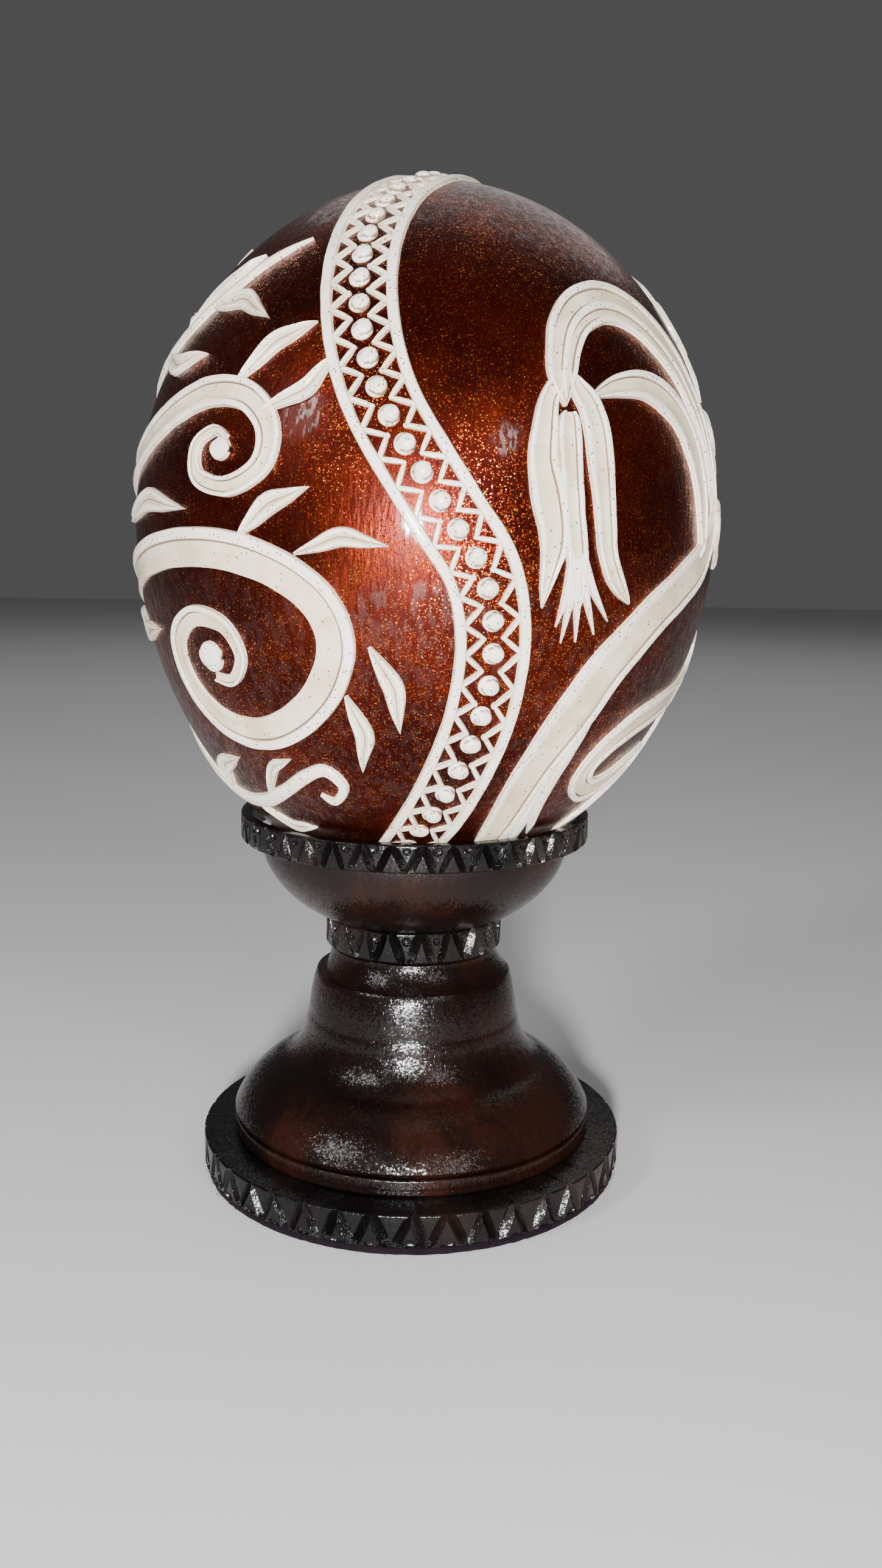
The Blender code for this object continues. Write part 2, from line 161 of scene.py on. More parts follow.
class Finish:
    """One material, with the patterns that several finishes share."""

    def __init__(self, name):
        self.material = bpy.data.materials.new(name)
        self.material.use_nodes = True
        self.tree = self.material.node_tree
        self.tree.nodes.clear()
        self.place = self.node("ShaderNodeTexCoord", {}, {}, "Object")

    def node(self, kind, settings, inputs, output=0):
        """Adds a node. Settings go on the node, stops on its ramp, and inputs on its sockets."""
        made = self.tree.nodes.new(kind)
        for key, value in settings.items():
            if key == "stops":
                self.set_stops(made.color_ramp, value)
            else:
                setattr(made, key, value)
        for key, value in inputs.items():
            if isinstance(value, Wire):
                self.tree.links.new(value.socket, made.inputs[key])
            else:
                made.inputs[key].default_value = value
        return Wire(self, made.outputs[output])

    @staticmethod
    def set_stops(ramp, stops):
        while len(ramp.elements) < len(stops):
            ramp.elements.new(0.5)
        for element, (position, colour) in zip(ramp.elements, stops):
            element.position = position
            element.color = colour

    def ramp(self, value, *stops):
        """Colours along a value, each stop a position and a colour."""
        stops = [(position, (*colour, 1)) for position, colour in stops]
        return self.node("ShaderNodeValToRGB", {"stops": stops}, {0: value}, "Color")

    def step(self, value, low, high):
        """A smooth step from 0 at low to 1 at high."""
        settings = {"interpolation_type": "SMOOTHSTEP"}
        return self.node("ShaderNodeMapRange", settings, {0: value, 1: low, 2: high})

    def mix(self, mask, low, high):
        """A colour between low and high."""
        low, high = ((*c, 1) if isinstance(c, tuple) else c for c in (low, high))
        return self.node("ShaderNodeMix", {"data_type": "RGBA"}, {0: mask, 6: low, 7: high}, 2)

    def stretched(self, across, along):
        """The place on the piece, stretched along its height."""
        scale = {"Vector": self.place, "Scale": (across, across, along)}
        return self.node("ShaderNodeMapping", {}, scale)

    def cloud(self, size, detail=3.0, rough=0.5, place=None, output=0):
        """Soft noise whose patches are about `size` metres across."""
        inputs = {"Vector": place or self.place, "Scale": 1 / size, "Detail": detail, "Roughness": rough}
        return self.node("ShaderNodeTexNoise", {}, inputs, output)

    def cells(self, size, output, place=None):
        """Cells about `size` metres across."""
        inputs = {"Vector": place or self.place, "Scale": 1 / size}
        return self.node("ShaderNodeTexVoronoi", {}, inputs, output)

    def channel(self, colour, number):
        return self.node("ShaderNodeSeparateXYZ", {}, {0: colour}, number)

    def bump(self, height, depth, normal=None):
        """A bump whose full height is `depth` metres."""
        inputs = {"Strength": 1.0, "Distance": depth, "Height": height}
        if normal:
            inputs["Normal"] = normal
        return self.node("ShaderNodeBump", {}, inputs)

    def tilted(self, chance, amount, normal):
        """A normal that leans its own way in every cell, by about `amount`."""
        vector = "ShaderNodeVectorMath"
        tilt = self.node(vector, {"operation": "SUBTRACT"}, {0: chance, 1: (0.5, 0.5, 0.5)})
        lean = self.node(vector, {"operation": "SCALE"}, {0: tilt, 3: amount})
        leaning = self.node(vector, {"operation": "ADD"}, {0: normal, 1: lean})
        return self.node(vector, {"operation": "NORMALIZE"}, {0: leaning})

    def done(self, **sockets):
        """Puts the surface shader at the end of the tree and returns the material."""
        inputs = {name.replace("_", " "): value for name, value in sockets.items()}
        surface = self.node("ShaderNodeBsdfPrincipled", {}, inputs)
        end = self.tree.nodes.new("ShaderNodeOutputMaterial")
        self.tree.links.new(surface.socket, end.inputs["Surface"])
        print("finish", self.material.name, "has", len(self.tree.nodes), "nodes")
        return self.material


def dressed(piece, material):
    """Gives a piece one material."""
    piece.data.materials.clear()
    piece.data.materials.append(material)
    return piece


# %% [markdown]
# ## The lacquer
#
# The ground is a dark red lacquer with copper and gold flakes under a thick clear coat. Each flake is a
# cell that lies at its own tilt, so the light picks out some of them and leaves the others dark. That is
# why the flakes tilt the normal under a coat that stays smooth. Cloudy patches make the flakes gather.

# %% Lacquer with copper flakes
FLAKE_SIZE = 0.20 * MM
LACQUER_REDS = [
    (0.30, (0.024, 0.0016, 0.0006)), (0.50, (0.052, 0.0036, 0.0009)), (0.70, (0.105, 0.0085, 0.0013)),
]
GOLD_DUST = (0.115, 0.030, 0.0045)
FLAKE_METALS = [
    (0.0, (0.08, 0.0045, 0.0009)), (0.50, (0.23, 0.020, 0.0018)), (0.86, (0.56, 0.115, 0.009)),
    (1.0, (0.82, 0.38, 0.07)),
]


def flecked_lacquer():
    finish = Finish("flecked_lacquer")
    mottled = finish.cloud(20 * MM, 4, 0.6)
    streaked = finish.cloud(3.2 * MM, 3, 0.6)
    dusted = finish.cloud(11 * MM, 4, 0.65)
    chance = finish.cells(FLAKE_SIZE, "Color")
    pick = finish.channel(chance, 0)
    hue = finish.channel(chance, 1)
    crowd = 0.11 + 0.26 * finish.step(mottled * 0.4 + streaked * 0.6, 0.40, 0.66)
    flake = pick < crowd
    ground = finish.ramp(mottled, *LACQUER_REDS)
    gold_dust = finish.step(dusted, 0.58, 0.76) * finish.step(streaked, 0.42, 0.62)
    ground = finish.mix(gold_dust * 0.45, ground, GOLD_DUST)
    metal = finish.ramp(hue, *FLAKE_METALS)
    colour = finish.mix(flake * 0.85, ground, metal)
    wiped = finish.cloud(1.3 * MM, 3, 0.65, finish.stretched(1.0, 0.30))
    polished = finish.step(wiped, 0.47, 0.58)
    ripple = finish.cloud(0.9 * MM, 3, 0.55, finish.stretched(1.0, 0.22))
    rippled = finish.bump(ripple, 0.10 * MM)
    return finish.done(
        Base_Color=colour,
        Metallic=0.90 + flake * 0.08,
        Roughness=0.35 - flake * 0.06,
        Normal=finish.tilted(chance, 0.04 + flake * 0.34, rippled),
        Coat_Weight=0.03 + polished * 0.40,
        Coat_Roughness=0.09,
        Coat_IOR=1.5,
    )


LACQUER = flecked_lacquer()

# %% [markdown]
# ## The bare shell
#
# Ostrich shell is a warm white with small dark pores. The carver's tool leaves fine scratches, and the
# clear lacquer that was wiped over it leaves a soft shine. The pores are cells that are rarely picked.
# The cut lines, the ribbons' feet and the beads' ledges are darkened with painted shade, along with some
# grime.

# %% Bare shell with pores
PORE_SPACING = 0.95 * MM
SHELL_FIELD = [(0.3, (0.50, 0.39, 0.26)), (0.5, (0.60, 0.51, 0.37)), (0.7, (0.67, 0.60, 0.48))]
SHELL_EDGE = [(0.3, (0.70, 0.62, 0.51)), (0.7, (0.80, 0.76, 0.69))]


def bare_shell():
    finish = Finish("bare_shell")
    warm = finish.cloud(9 * MM, 3, 0.55)
    fine = finish.cloud(0.5 * MM, 3, 0.6)
    cut = finish.node("ShaderNodeAttribute", {"attribute_name": "cut"}, {}, "Fac")
    proud = finish.step(cut, 0.12, 0.24) * (cut < 0.45)
    chance = finish.channel(finish.cells(PORE_SPACING, "Color"), 0)
    reach = finish.cells(PORE_SPACING, "Distance")
    pore = (chance < 0.22 + proud * 0.5) * finish.step(0.24 - reach, 0.0, 0.08)
    tone = finish.mix(proud, finish.ramp(warm, *SHELL_FIELD), finish.ramp(warm, *SHELL_EDGE))
    # Painted shade, with some grime: the cut lines, the ribbons' feet and the beads' ledges are darkened
    # where creases would lie in shade.
    crease_shade_and_grime = finish.step(cut + fine * 0.4, 0.62, 1.05)
    toned = finish.mix(finish.step(fine, 0.62, 0.80) * 0.35, tone, (0.40, 0.28, 0.17))
    # The painted shade's colour is a dark brown.
    crease_shaded = finish.mix(crease_shade_and_grime * 0.85, toned, (0.12, 0.055, 0.030))
    colour = finish.mix(pore * 0.85, crease_shaded, (0.09, 0.045, 0.025))
    height = fine * 0.5 - pore
    return finish.done(
        Base_Color=colour,
        Roughness=0.36 + fine * 0.18,
        Normal=finish.bump(height, 0.06 * MM),
        Coat_Weight=0.25,
        Coat_Roughness=0.18,
        Subsurface_Weight=0.06,
        Subsurface_Radius=(0.0012, 0.0008, 0.0005),
        Subsurface_Scale=1.0,
    )


SHELL = bare_shell()


# %% Unlacquered shell inside the egg
def shell_inside():
    finish = Finish("shell_inside")
    warm = finish.cloud(6 * MM, 4, 0.6)
    fine = finish.cloud(0.4 * MM, 2, 0.5)
    tone = finish.ramp(warm, (0.3, (0.62, 0.53, 0.40)), (0.7, (0.80, 0.73, 0.60)))
    return finish.done(Base_Color=tone, Roughness=0.6 + fine * 0.2, Normal=finish.bump(fine, 0.04 * MM))


SHELL_INSIDE = shell_inside()

# %% [markdown]
# ## The dark wood
#
# The stand was turned with the grain upright, so the grain is noise that is drawn out along the height.
# Its stain is nearly black where it pooled and red-brown where it was rubbed through. A varnish coat lies
# over open pores, which break up its shine into fine grains of light. The carved rings had a black stain.

# %% Stained and blackened wood
def turned_wood(name, dark, middle, light, dust, pore_depth, shine):
    finish = Finish(name)
    drawn_out = finish.stretched(1.0, 0.12)
    figure = finish.cloud(11 * MM, 4, 0.6, drawn_out)
    patches = finish.cloud(34 * MM, 3, 0.5)
    grain = finish.cloud(0.9 * MM, 4, 0.65, drawn_out)
    pores = finish.cells(0.55 * MM, "Distance", finish.stretched(1.0, 0.25))
    orange_peel = finish.cloud(0.50 * MM, 3, 0.6)
    speckle = finish.cells(0.34 * MM, "Color")
    wear = finish.step(figure * 0.45 + patches * 0.55 + grain * 0.12, 0.46, 0.68)
    stain = finish.ramp(wear, (0.0, dark), (0.5, middle), (1.0, light))
    opened = finish.step(0.30 - pores, 0.0, 0.2)
    colour = finish.mix(opened * 0.6, stain, tuple(0.35 * part for part in dark))
    dusty = finish.step(finish.cloud(0.7 * MM, 3, 0.7), 0.60, 0.74) * dust
    colour = finish.mix(dusty, colour, (0.12, 0.11, 0.11))
    height = orange_peel * 0.75 + grain * 0.25 - opened * 0.5
    return finish.done(
        Base_Color=colour,
        Roughness=shine + grain * 0.16 + dusty * 0.3,
        Normal=finish.tilted(speckle, 0.18, finish.bump(height, pore_depth)),
        Specular_IOR_Level=0.30,
    )


BROWN_STAIN = [(0.0030, 0.0014, 0.0012), (0.0056, 0.0020, 0.0014), (0.014, 0.0040, 0.0022)]
BLACK_STAIN = [(0.0018, 0.0015, 0.0015), (0.0034, 0.0026, 0.0024), (0.009, 0.0050, 0.0038)]
STAINED = turned_wood("stained_wood", *BROWN_STAIN, dust=0.03, pore_depth=0.045 * MM, shine=0.12)
BLACKENED = turned_wood("blackened_wood", *BLACK_STAIN, dust=0.08, pore_depth=0.070 * MM, shine=0.12)


# %% Plain dowel wood and zinc-plated steel
def plain_wood():
    finish = Finish("plain_wood")
    grain = finish.cloud(1.1 * MM, 4, 0.6, finish.stretched(1.0, 0.1))
    tone = finish.ramp(grain, (0.3, (0.34, 0.19, 0.09)), (0.7, (0.55, 0.36, 0.19)))
    return finish.done(Base_Color=tone, Roughness=0.55 + grain * 0.2, Normal=finish.bump(grain, 0.08 * MM))


def zinc_steel():
    finish = Finish("zinc_steel")
    cloud = finish.cloud(1.6 * MM, 4, 0.6)
    scuff = finish.cloud(0.3 * MM, 3, 0.6)
    tone = finish.ramp(cloud, (0.3, (0.42, 0.42, 0.44)), (0.7, (0.66, 0.65, 0.62)))
    return finish.done(
        Base_Color=tone, Metallic=1.0, Roughness=0.28 + scuff * 0.25, Normal=finish.bump(scuff, 0.02 * MM)
    )


PLAIN_WOOD = plain_wood()
STEEL = zinc_steel()

# %% [markdown]
# ## The felts
#
# Felt is pressed wool with no weave. Short, tangled fibres are noise that is stretched in two directions,
# with a soft sheen on top. The sole's edge is fuzzy, and that takes real fibres, which come later.

# %% Felt
def felt(name, dark, light):
    finish = Finish(name)
    one_way = finish.node("ShaderNodeMapping", {}, {"Vector": finish.place, "Scale": (1.0, 0.25, 0.6)})
    other_way = finish.node("ShaderNodeMapping", {}, {"Vector": finish.place, "Scale": (0.3, 1.0, 0.8)})
    fibres = [finish.cloud(0.28 * MM, 3, 0.7, way) * 0.5 for way in (one_way, other_way)]
    fibres = fibres[0] + fibres[1]
    matted = finish.cloud(4 * MM, 3, 0.6)
    tone = finish.ramp(fibres * 0.7 + matted * 0.3, (0.35, dark), (0.65, light))
    return finish.done(
        Base_Color=tone,
        Roughness=0.85 + fibres * 0.15,
        Normal=finish.bump(fibres, 0.25 * MM),
        Specular_IOR_Level=0.1,
        Sheen_Weight=0.03,
        Sheen_Roughness=0.5,
        Sheen_Tint=(0.45, 0.35, 0.5, 1.0),
    )


SOLE_FELT = felt("sole_felt", (0.0030, 0.0016, 0.0027), (0.011, 0.0055, 0.0092))
SEAT_FELT = felt("seat_felt", (0.004, 0.0025, 0.0035), (0.018, 0.011, 0.016))

# %% [markdown]
# ## The egg's own axes
#
# The egg leans a little, so its ornament is laid out on its own axes: a turn round the egg in degrees,
# which is 0 at the front and grows to the right, and a height along its axis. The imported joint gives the
# centre and the axis. The outline is an ellipse whose fullness changes a little from end to end.

# %% The egg's shape
EGG_WIDTH = 126 * MM
EGG_LENGTH = 150.8 * MM
EGG_TAPER = 0.048
EGG_BLUNTNESS = -0.046

spin_joint = next(joint for joint in frame["joints"] if joint["name"] == "egg_turn")
EGG_CENTRE = Vector(spin_joint["pos_m"])
EGG_UP = Vector(spin_joint["axis"]).normalized()
EGG_SIDE = Vector((EGG_UP.z, 0, -EGG_UP.x))
EGG_AXES = Matrix.Translation(EGG_CENTRE) @ Matrix((EGG_SIDE, (0, 1, 0), EGG_UP)).transposed().to_4x4()
HALF_TURN = Matrix.Rotation(math.pi, 4, "Z")


def swelling(rise):
    return 1 + EGG_TAPER * rise + EGG_BLUNTNESS * rise * rise


RISES = [step / 200 - 0.5 for step in range(201)]
WIDEST = max(math.sqrt(1 - rise * rise) * swelling(rise) for rise in RISES)


def on_egg(turn, polar, lift=0.0):
    """A point on the egg in its own axes. Turn and polar angle are in radians, lift in metres."""
    rise, sine = math.cos(polar), math.sin(polar)
    girth = EGG_WIDTH / 2 / WIDEST
    radius = girth * sine * swelling(rise)
    outward = EGG_LENGTH / 2 * sine
    upward = girth * (rise * swelling(rise) - sine * sine * (EGG_TAPER + 2 * EGG_BLUNTNESS * rise))
    slope = math.hypot(outward, upward)
    radius += lift * outward / slope
    height = EGG_LENGTH / 2 * rise + lift * upward / slope
    return Vector((radius * math.sin(turn), -radius * math.cos(turn), height))


def settle(point, lift=0.0):
    """Brings a point near the egg down onto it, then lifts it along the shell's normal."""
    polar = math.atan2(math.hypot(point.x, point.y) / EGG_WIDTH, point.z / EGG_LENGTH)
    return on_egg(math.atan2(point.x, -point.y), polar, lift)


def at(turn, height):
    """The point on the egg at a turn in degrees and a height in millimetres."""
    return on_egg(math.radians(turn), math.acos(height * MM / (EGG_LENGTH / 2)))


packed_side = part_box("eggshell")[1].y
print("egg outline is off the packed shell by", round(1e6 * (packed_side - EGG_WIDTH / 2)), "microns")

# %% [markdown]
# ## The shell
#
# A blown egg is one thin wall with a hole at its foot. It starts as a sphere whose rings are moved onto
# the outline. The faces round the lower pole are deleted, and Solidify gives the wall its thickness.

# %% The lacquered shell
SHELL_WALL = 2.0 * MM
BLOW_HOLE = 5.0 * MM


def lacquered_shell():
    bpy.ops.object.select_all(action="DESELECT")
    bpy.ops.mesh.primitive_uv_sphere_add(segments=144, ring_count=108, radius=1)
    egg = named(bpy.context.object, "lacquered_shell")
    for vertex in egg.data.vertices:
        x, y, z = vertex.co
        vertex.co = on_egg(math.atan2(x, -y), math.acos(max(min(z, 1), -1)))
    mode("EDIT")
    bpy.ops.mesh.select_all(action="DESELECT")
    mode("OBJECT")
    for face in egg.data.polygons:
        centre = face.center
        face.select = centre.z < 0 and math.hypot(centre.x, centre.y) < BLOW_HOLE
    mode("EDIT")
    bpy.ops.mesh.select_mode(type="FACE")
    bpy.ops.mesh.delete(type="FACE")
    mode("OBJECT")
    close_up(egg)
    egg.data.materials.append(LACQUER)
    egg.data.materials.append(SHELL_INSIDE)
    wall = egg.modifiers.new("wall", "SOLIDIFY")
    wall.thickness = SHELL_WALL
    wall.offset = -1
    wall.material_offset = 1
    wall.material_offset_rim = 1
    bpy.ops.object.modifier_apply(modifier=wall.name)
    egg.data.transform(EGG_AXES)
    bpy.ops.object.shade_smooth_by_angle(angle=math.radians(40))
    return egg


egg_shell = lacquered_shell()
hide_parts("eggshell")
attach(egg_shell, "egg")
print("shell has", len(egg_shell.data.polygons), "faces")

# %% [markdown]
# ## Carved ribbons
#
# All the ornament is one idea: a ribbon that stands up from the ground, with its own section. A section
# is a list of places across the ribbon and heights, both as fractions. A smooth line through a few listed
# points carries it, each point with a turn, a height and a width. The ribbon starts as a grid.
# Its rows go along the line and its columns round the section, so that merging the doubles closes it.
# A little noise on the width and height makes it look cut by hand.

# %% Sections of the carved ribbons
RELIEF = 1.1 * MM
BURIED = 0.5 * MM
FADE_FROM = -50 * MM
FADE_TO = -58 * MM
FADED = 0.34


def border(start, end):
    """A raised, rounded border from a cut line to the ribbon's edge, as fractions of half the width."""
    wide = end - start
    return [
        (start, 0.26), (start + 0.14 * wide, 0.86), (start + 0.45 * wide, 1.0), (end - 0.10 * wide, 0.90),
        (end, 0.55),
    ]


def flipped(section):
    return [(-across, height) for across, height in reversed(section)]


def bordered(start):
    """A hollow field between two borders."""
    edge = border(start, 0.98) + [(1, 0)]
    field = [(0.5 * start, 0.44), (0.86 * start, 0.54)]
    return flipped(edge) + flipped(field) + [(0, 0.38)] + field + edge


SECTIONS = {
    "rail": [(-1, 0), (-0.95, 0.6), (-0.72, 0.90), (0, 1), (0.72, 0.90), (0.95, 0.6), (1, 0)],
    "bar": [(-1, 0), (-0.75, 0.8), (0, 0.92), (0.75, 0.8), (1, 0)],
    "petal": bordered(0.50),
    "trunk": bordered(0.68),
    "stepped": flipped(border(0.34, 0.98) + [(1, 0)]) + [
        (-0.26, 0.56), (0.1, 0.44), (0.5, 0.46), (0.84, 0.58), (0.96, 0.45), (1, 0),
    ],
    "leaf": [
        (-1, 0), (-0.96, 0.6), (-0.76, 0.98), (-0.5, 0.90), (-0.12, 0.62), (0, 0.34), (0.12, 0.62),
        (0.5, 0.90), (0.76, 0.98), (0.96, 0.6), (1, 0),
    ],
}
SECTIONS["fluted"] = (
    flipped(border(0.60, 0.98) + [(1, 0)])
    + [(-0.54, 0.58), (-0.3, 0.50), (-0.06, 0.54)] + border(-0.02, 0.34)[:-1]
    + [(0.36, 0.38), (0.42, 0.56), (0.62, 0.50)] + border(0.68, 0.98) + [(1, 0)]
)


for name in ("stepped", "fluted"):
    SECTIONS[name + "_right"] = flipped(SECTIONS[name])


def cut_depth(section):
    """What the finish reads at each place of a section: 1 in a cut line, 0.3 on a raised border, else 0."""
    heights = [height for across, height in section]
    # Painted shade: the finish darkens the places marked 1 and the edges marked 0.9, as if the creases and
    # the ribbon's foot lay in shade.
    lined = [0.3 if height > 0.8 else 0.0 for height in heights]
    for index in range(1, len(heights) - 1):
        if min(heights[index - 1], heights[index + 1]) - heights[index] > 0.1:
            lined[index] = 1.0
    lined[0] = lined[-1] = 0.9
    return lined


print("sections:", ", ".join(SECTIONS))


# %% A smooth line through listed points
def smooth_line(stops, spacing=0.9 * MM):
    """Points about `spacing` apart on a smooth line through the stops. Each is a place and a width."""
    knots = [(at(turn, height), width * MM) for turn, height, width in stops]
    return through(knots, spacing)


def through(knots, spacing):
    """The same, for knots that are already places on the egg."""
    ends = [knots[0], *knots, knots[-1]]
    line = []
    for before, start, end, after in zip(ends, ends[1:], ends[2:], ends[3:]):
        count = max(2, round((end[0] - start[0]).length / spacing))
        for step in range(count):
            part = step / count
            line.append(tuple(spline_value(*pair, part) for pair in zip(before, start, end, after)))
    line.append(knots[-1])
    return line


def spline_value(before, start, end, after, part):
    """The smooth curve that passes through start and end."""
    slope_in, slope_out = (end - before) * 0.5, (after - start) * 0.5
    bend = (end - start) * 3 - slope_in * 2 - slope_out
    ending = (start - end) * 2 + slope_in + slope_out
    return start + slope_in * part + bend * (part * part) + ending * (part * part * part)


def relief_at(place, width):
    """How high the ornament stands: less where it is narrow, and near the cup, which the egg turns in."""
    fade = eased((place.z - FADE_TO) / (FADE_FROM - FADE_TO))
    narrow = min(1.0, 0.35 + width / (2.4 * MM))
    return RELIEF * blended(FADED, 1.0, fade) * narrow


# %% Carve a ribbon
UNEVEN_WIDTH = 0.10 * MM
UNEVEN_SIZE = 4 * MM


def carve(line, section, height=1.0, uneven=1.0):
    """A closed ribbon along a line of places and widths, in the egg's own axes."""
    shape = SECTIONS[section]
    rows = len(line) + 2
    columns = len(shape) + 1
    bpy.ops.object.select_all(action="DESELECT")
    bpy.ops.mesh.primitive_grid_add(x_subdivisions=columns - 1, y_subdivisions=rows - 1, size=1)
    ribbon = bpy.context.object
    places = [ribbon_row(line, index, shape, height, uneven) for index in range(len(line))]
    start, end = ([row[0].lerp(row[-2], 0.5)] * columns for row in (places[0], places[-1]))
    places = [place for row in (start, *places, end) for place in row]
    for vertex, place in zip(ribbon.data.vertices, places):
        vertex.co = place
    lined = cut_depth(shape)
    cut = ribbon.data.attributes.new("cut", "FLOAT", "POINT")
    for index, value in enumerate(cut.data):
        value.value = (lined + [lined[0]])[index % columns]
    return close_up(ribbon, smooth=38)


def ribbon_row(line, index, shape, height, uneven):
    """One row of places round the section, at one point of the line."""
    centre, width = line[index]
    ahead = line[min(index + 1, len(line) - 1)][0]
    behind = line[max(index - 1, 0)][0]
    up = (settle(centre, MM) - settle(centre)).normalized()
    across = (ahead - behind).cross(up).normalized()
    width = max(width, 0)
    half = width / 2
    if width > 1.2 * MM:
        half += uneven * UNEVEN_WIDTH * noise.noise(centre / UNEVEN_SIZE)
    lift = height * relief_at(centre, width) * (1 + 0.08 * uneven * noise.noise(centre / UNEVEN_SIZE + up))
    row = []
    for fraction, rise in shape:
        rise = lift * rise if rise else -BURIED
        side = settle(centre + across * (half * fraction))
        row.append(settle(side, rise))
    return [*row, row[0]]


def on_both_faces(pieces, name):
    """Joins carved pieces, adds a copy on the far side of the egg, and puts both in the frame."""
    front = joined(pieces, name + "_front")
    only(front)
    bpy.ops.object.duplicate()
    back = named(bpy.context.object, name + "_back")
    back.data.transform(HALF_TURN)
    for piece in (front, back):
        finish_ornament(piece)


def finish_ornament(piece):
    piece.data.transform(EGG_AXES)
    dressed(piece, SHELL)
    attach(piece, "egg")
    print(piece.name, "has", len(piece.data.polygons), "faces")


# %% [markdown]
# ## The lace band
#
# A winding band crosses the egg from the cup, over the top and down the far side. It has two plain rails,
# a row of beads, and a zigzag on each side of the beads. Its centre line is given point by point on the
# front.
# The far side is the same line after a half turn, and both meet at the top, so one line makes it all.

# %% The band's centre line
BAND_STOPS = [
    (-3.0, -63.0), (1.4, -57.1), (6.7, -48.8), (10.7, -38.8), (12.9, -28.0), (12.7, -15.2), (9.5, -3.7),
    (3.2, 5.8), (-2.8, 14.8), (-8.9, 24.5), (-13.4, 34.2), (-17.0, 44.0), (-19.8, 53.4), (-21.5, 61.6),
    (-21.9, 67.7), (-20.5, 72.0),
]
BAND_WIDTH = 14.3
RAIL_WIDTH = 2.2
BEAD_SPACING = 5.9 * MM
BEAD_WIDTH = 4.1 * MM

front_half = [(at(turn, height), 0.0) for turn, height in BAND_STOPS]
far_half = [(HALF_TURN @ place, width) for place, width in reversed(front_half)]
top = [(at(0, EGG_LENGTH / 2 / MM), 0.0)]
band_line = [place for place, width in through(front_half + top + far_half, 0.6 * MM)]
band_length = sum((end - start).length for start, end in zip(band_line, band_line[1:]))
print("the band's centre line is", round(band_length / MM), "mm long")


def band_place(distance, sideways):
    """A place on the band, at a distance along its centre line and so far to its right."""
    for start, end in zip(band_line, band_line[1:]):
        stretch = (end - start).length
        if distance <= stretch or end is band_line[-1]:
            centre = start.lerp(end, distance / stretch)
            up = (settle(centre, MM) - settle(centre)).normalized()
            return settle(centre + (end - start).cross(up).normalized() * sideways)
        distance -= stretch


# %% Rails, beads and zigzag
def rail(side):
    offset = side * (BAND_WIDTH - RAIL_WIDTH) / 2 * MM
    steps = round(band_length / (1.2 * MM))
    places = [band_place(band_length * step / steps, offset) for step in range(steps + 1)]
    return carve([(place, RAIL_WIDTH * MM) for place in places], "rail")


BAR_WIDTHS = [0.9, 1.2, 1.15, 0.7]


def zigzag(side, count):
    """Thin bars from the rail to the gaps between the beads."""
    inner, outer = 1.8 * MM, (BAND_WIDTH / 2 - RAIL_WIDTH + 0.25) * MM
    wander = random.Random(7 + side)
    bars = []
    for number in range(2 * count):
        at_rail = number % 2 == 1
        first, last = (outer, inner) if at_rail else (inner, outer)
        start = band_place(BEAD_SPACING * (0.5 * number + wander.uniform(-0.05, 0.05)), side * first)
        end = band_place(BEAD_SPACING * (0.5 * number + 0.5), side * last)
        past = (end - start).normalized() * 0.35 * MM
        widths = BAR_WIDTHS if at_rail else BAR_WIDTHS[::-1]
        places = [start.lerp(end, step / 3) + past * (step / 1.5 - 1) for step in range(4)]
        line = [(place, width * MM) for place, width in zip(places, widths)]
        bars.append(carve(line, "bar", 0.9, 0))
    return joined(bars, "zigzag")


def bead(number):
    """A low dome that carries a smaller one to one side, so that a ledge is left round the other."""
    spot = band_place(BEAD_SPACING * (number + 0.5), 0)
    ahead = band_place(BEAD_SPACING * (number + 0.6), 0)
    up = (settle(spot, MM) - settle(spot)).normalized()
    along = (ahead - spot).normalized()
    bpy.ops.object.select_all(action="DESELECT")
    bpy.ops.mesh.primitive_uv_sphere_add(segments=24, ring_count=16, radius=1)
    dome = bpy.context.object
    wander = random.Random(number)
    lean = wander.uniform(-0.6, 0.6)
    low, tall = wander.uniform(0.46, 0.54), wander.uniform(0.30, 0.38)
    fade = relief_at(spot, BEAD_WIDTH) / RELIEF
    cut = dome.data.attributes.new("cut", "FLOAT", "POINT")
    for vertex, ledge in zip(dome.data.vertices, cut.data):
        x, y, z = vertex.co
        height = low * math.sqrt(max(z, 0))
        reach = math.hypot(x - 0.20 * math.cos(lean), y - 0.20 * math.sin(lean)) / 0.76
        # Painted shade: the ledge ring and the buried underside are marked 0.9, so the finish darkens them,
        # and the dome is marked 0.3 as a raised border.
        ledge.value = 0.9 if 1 <= reach < 1.16 or z <= 0 else 0.3
        if reach < 1:
            height = max(height, low + tall * math.sqrt(1 - reach * reach))
        vertex.co.z = height * fade if z > 0 else 0.25 * z
    axes = Matrix((along.cross(up), along, up)).transposed().to_4x4()
    seat = Matrix.Translation(settle(spot, -0.15 * MM))
    dome.data.transform(seat @ axes @ Matrix.Scale(BEAD_WIDTH / 2, 4))
    return close_up(dome, smooth=42)


bead_count = int(band_length / BEAD_SPACING)
lace = [rail(-1), rail(1), zigzag(-1, bead_count), zigzag(1, bead_count)]
lace_band = joined(lace, "lace_band")
finish_ornament(lace_band)
bead_row = joined([bead(number) for number in range(bead_count)], "bead_row")
finish_ornament(bead_row)

# %% [markdown]
# ## The flower on the right
#
# A tall flower fills the right of the band: two plumes that arch towards the egg's side, three long
# petals, a broad stem that splits into strands near the cup, and a looping root. Fine roots hang from the
# middle petal. The upper plume is fluted, and the petals and the stem have raised borders.

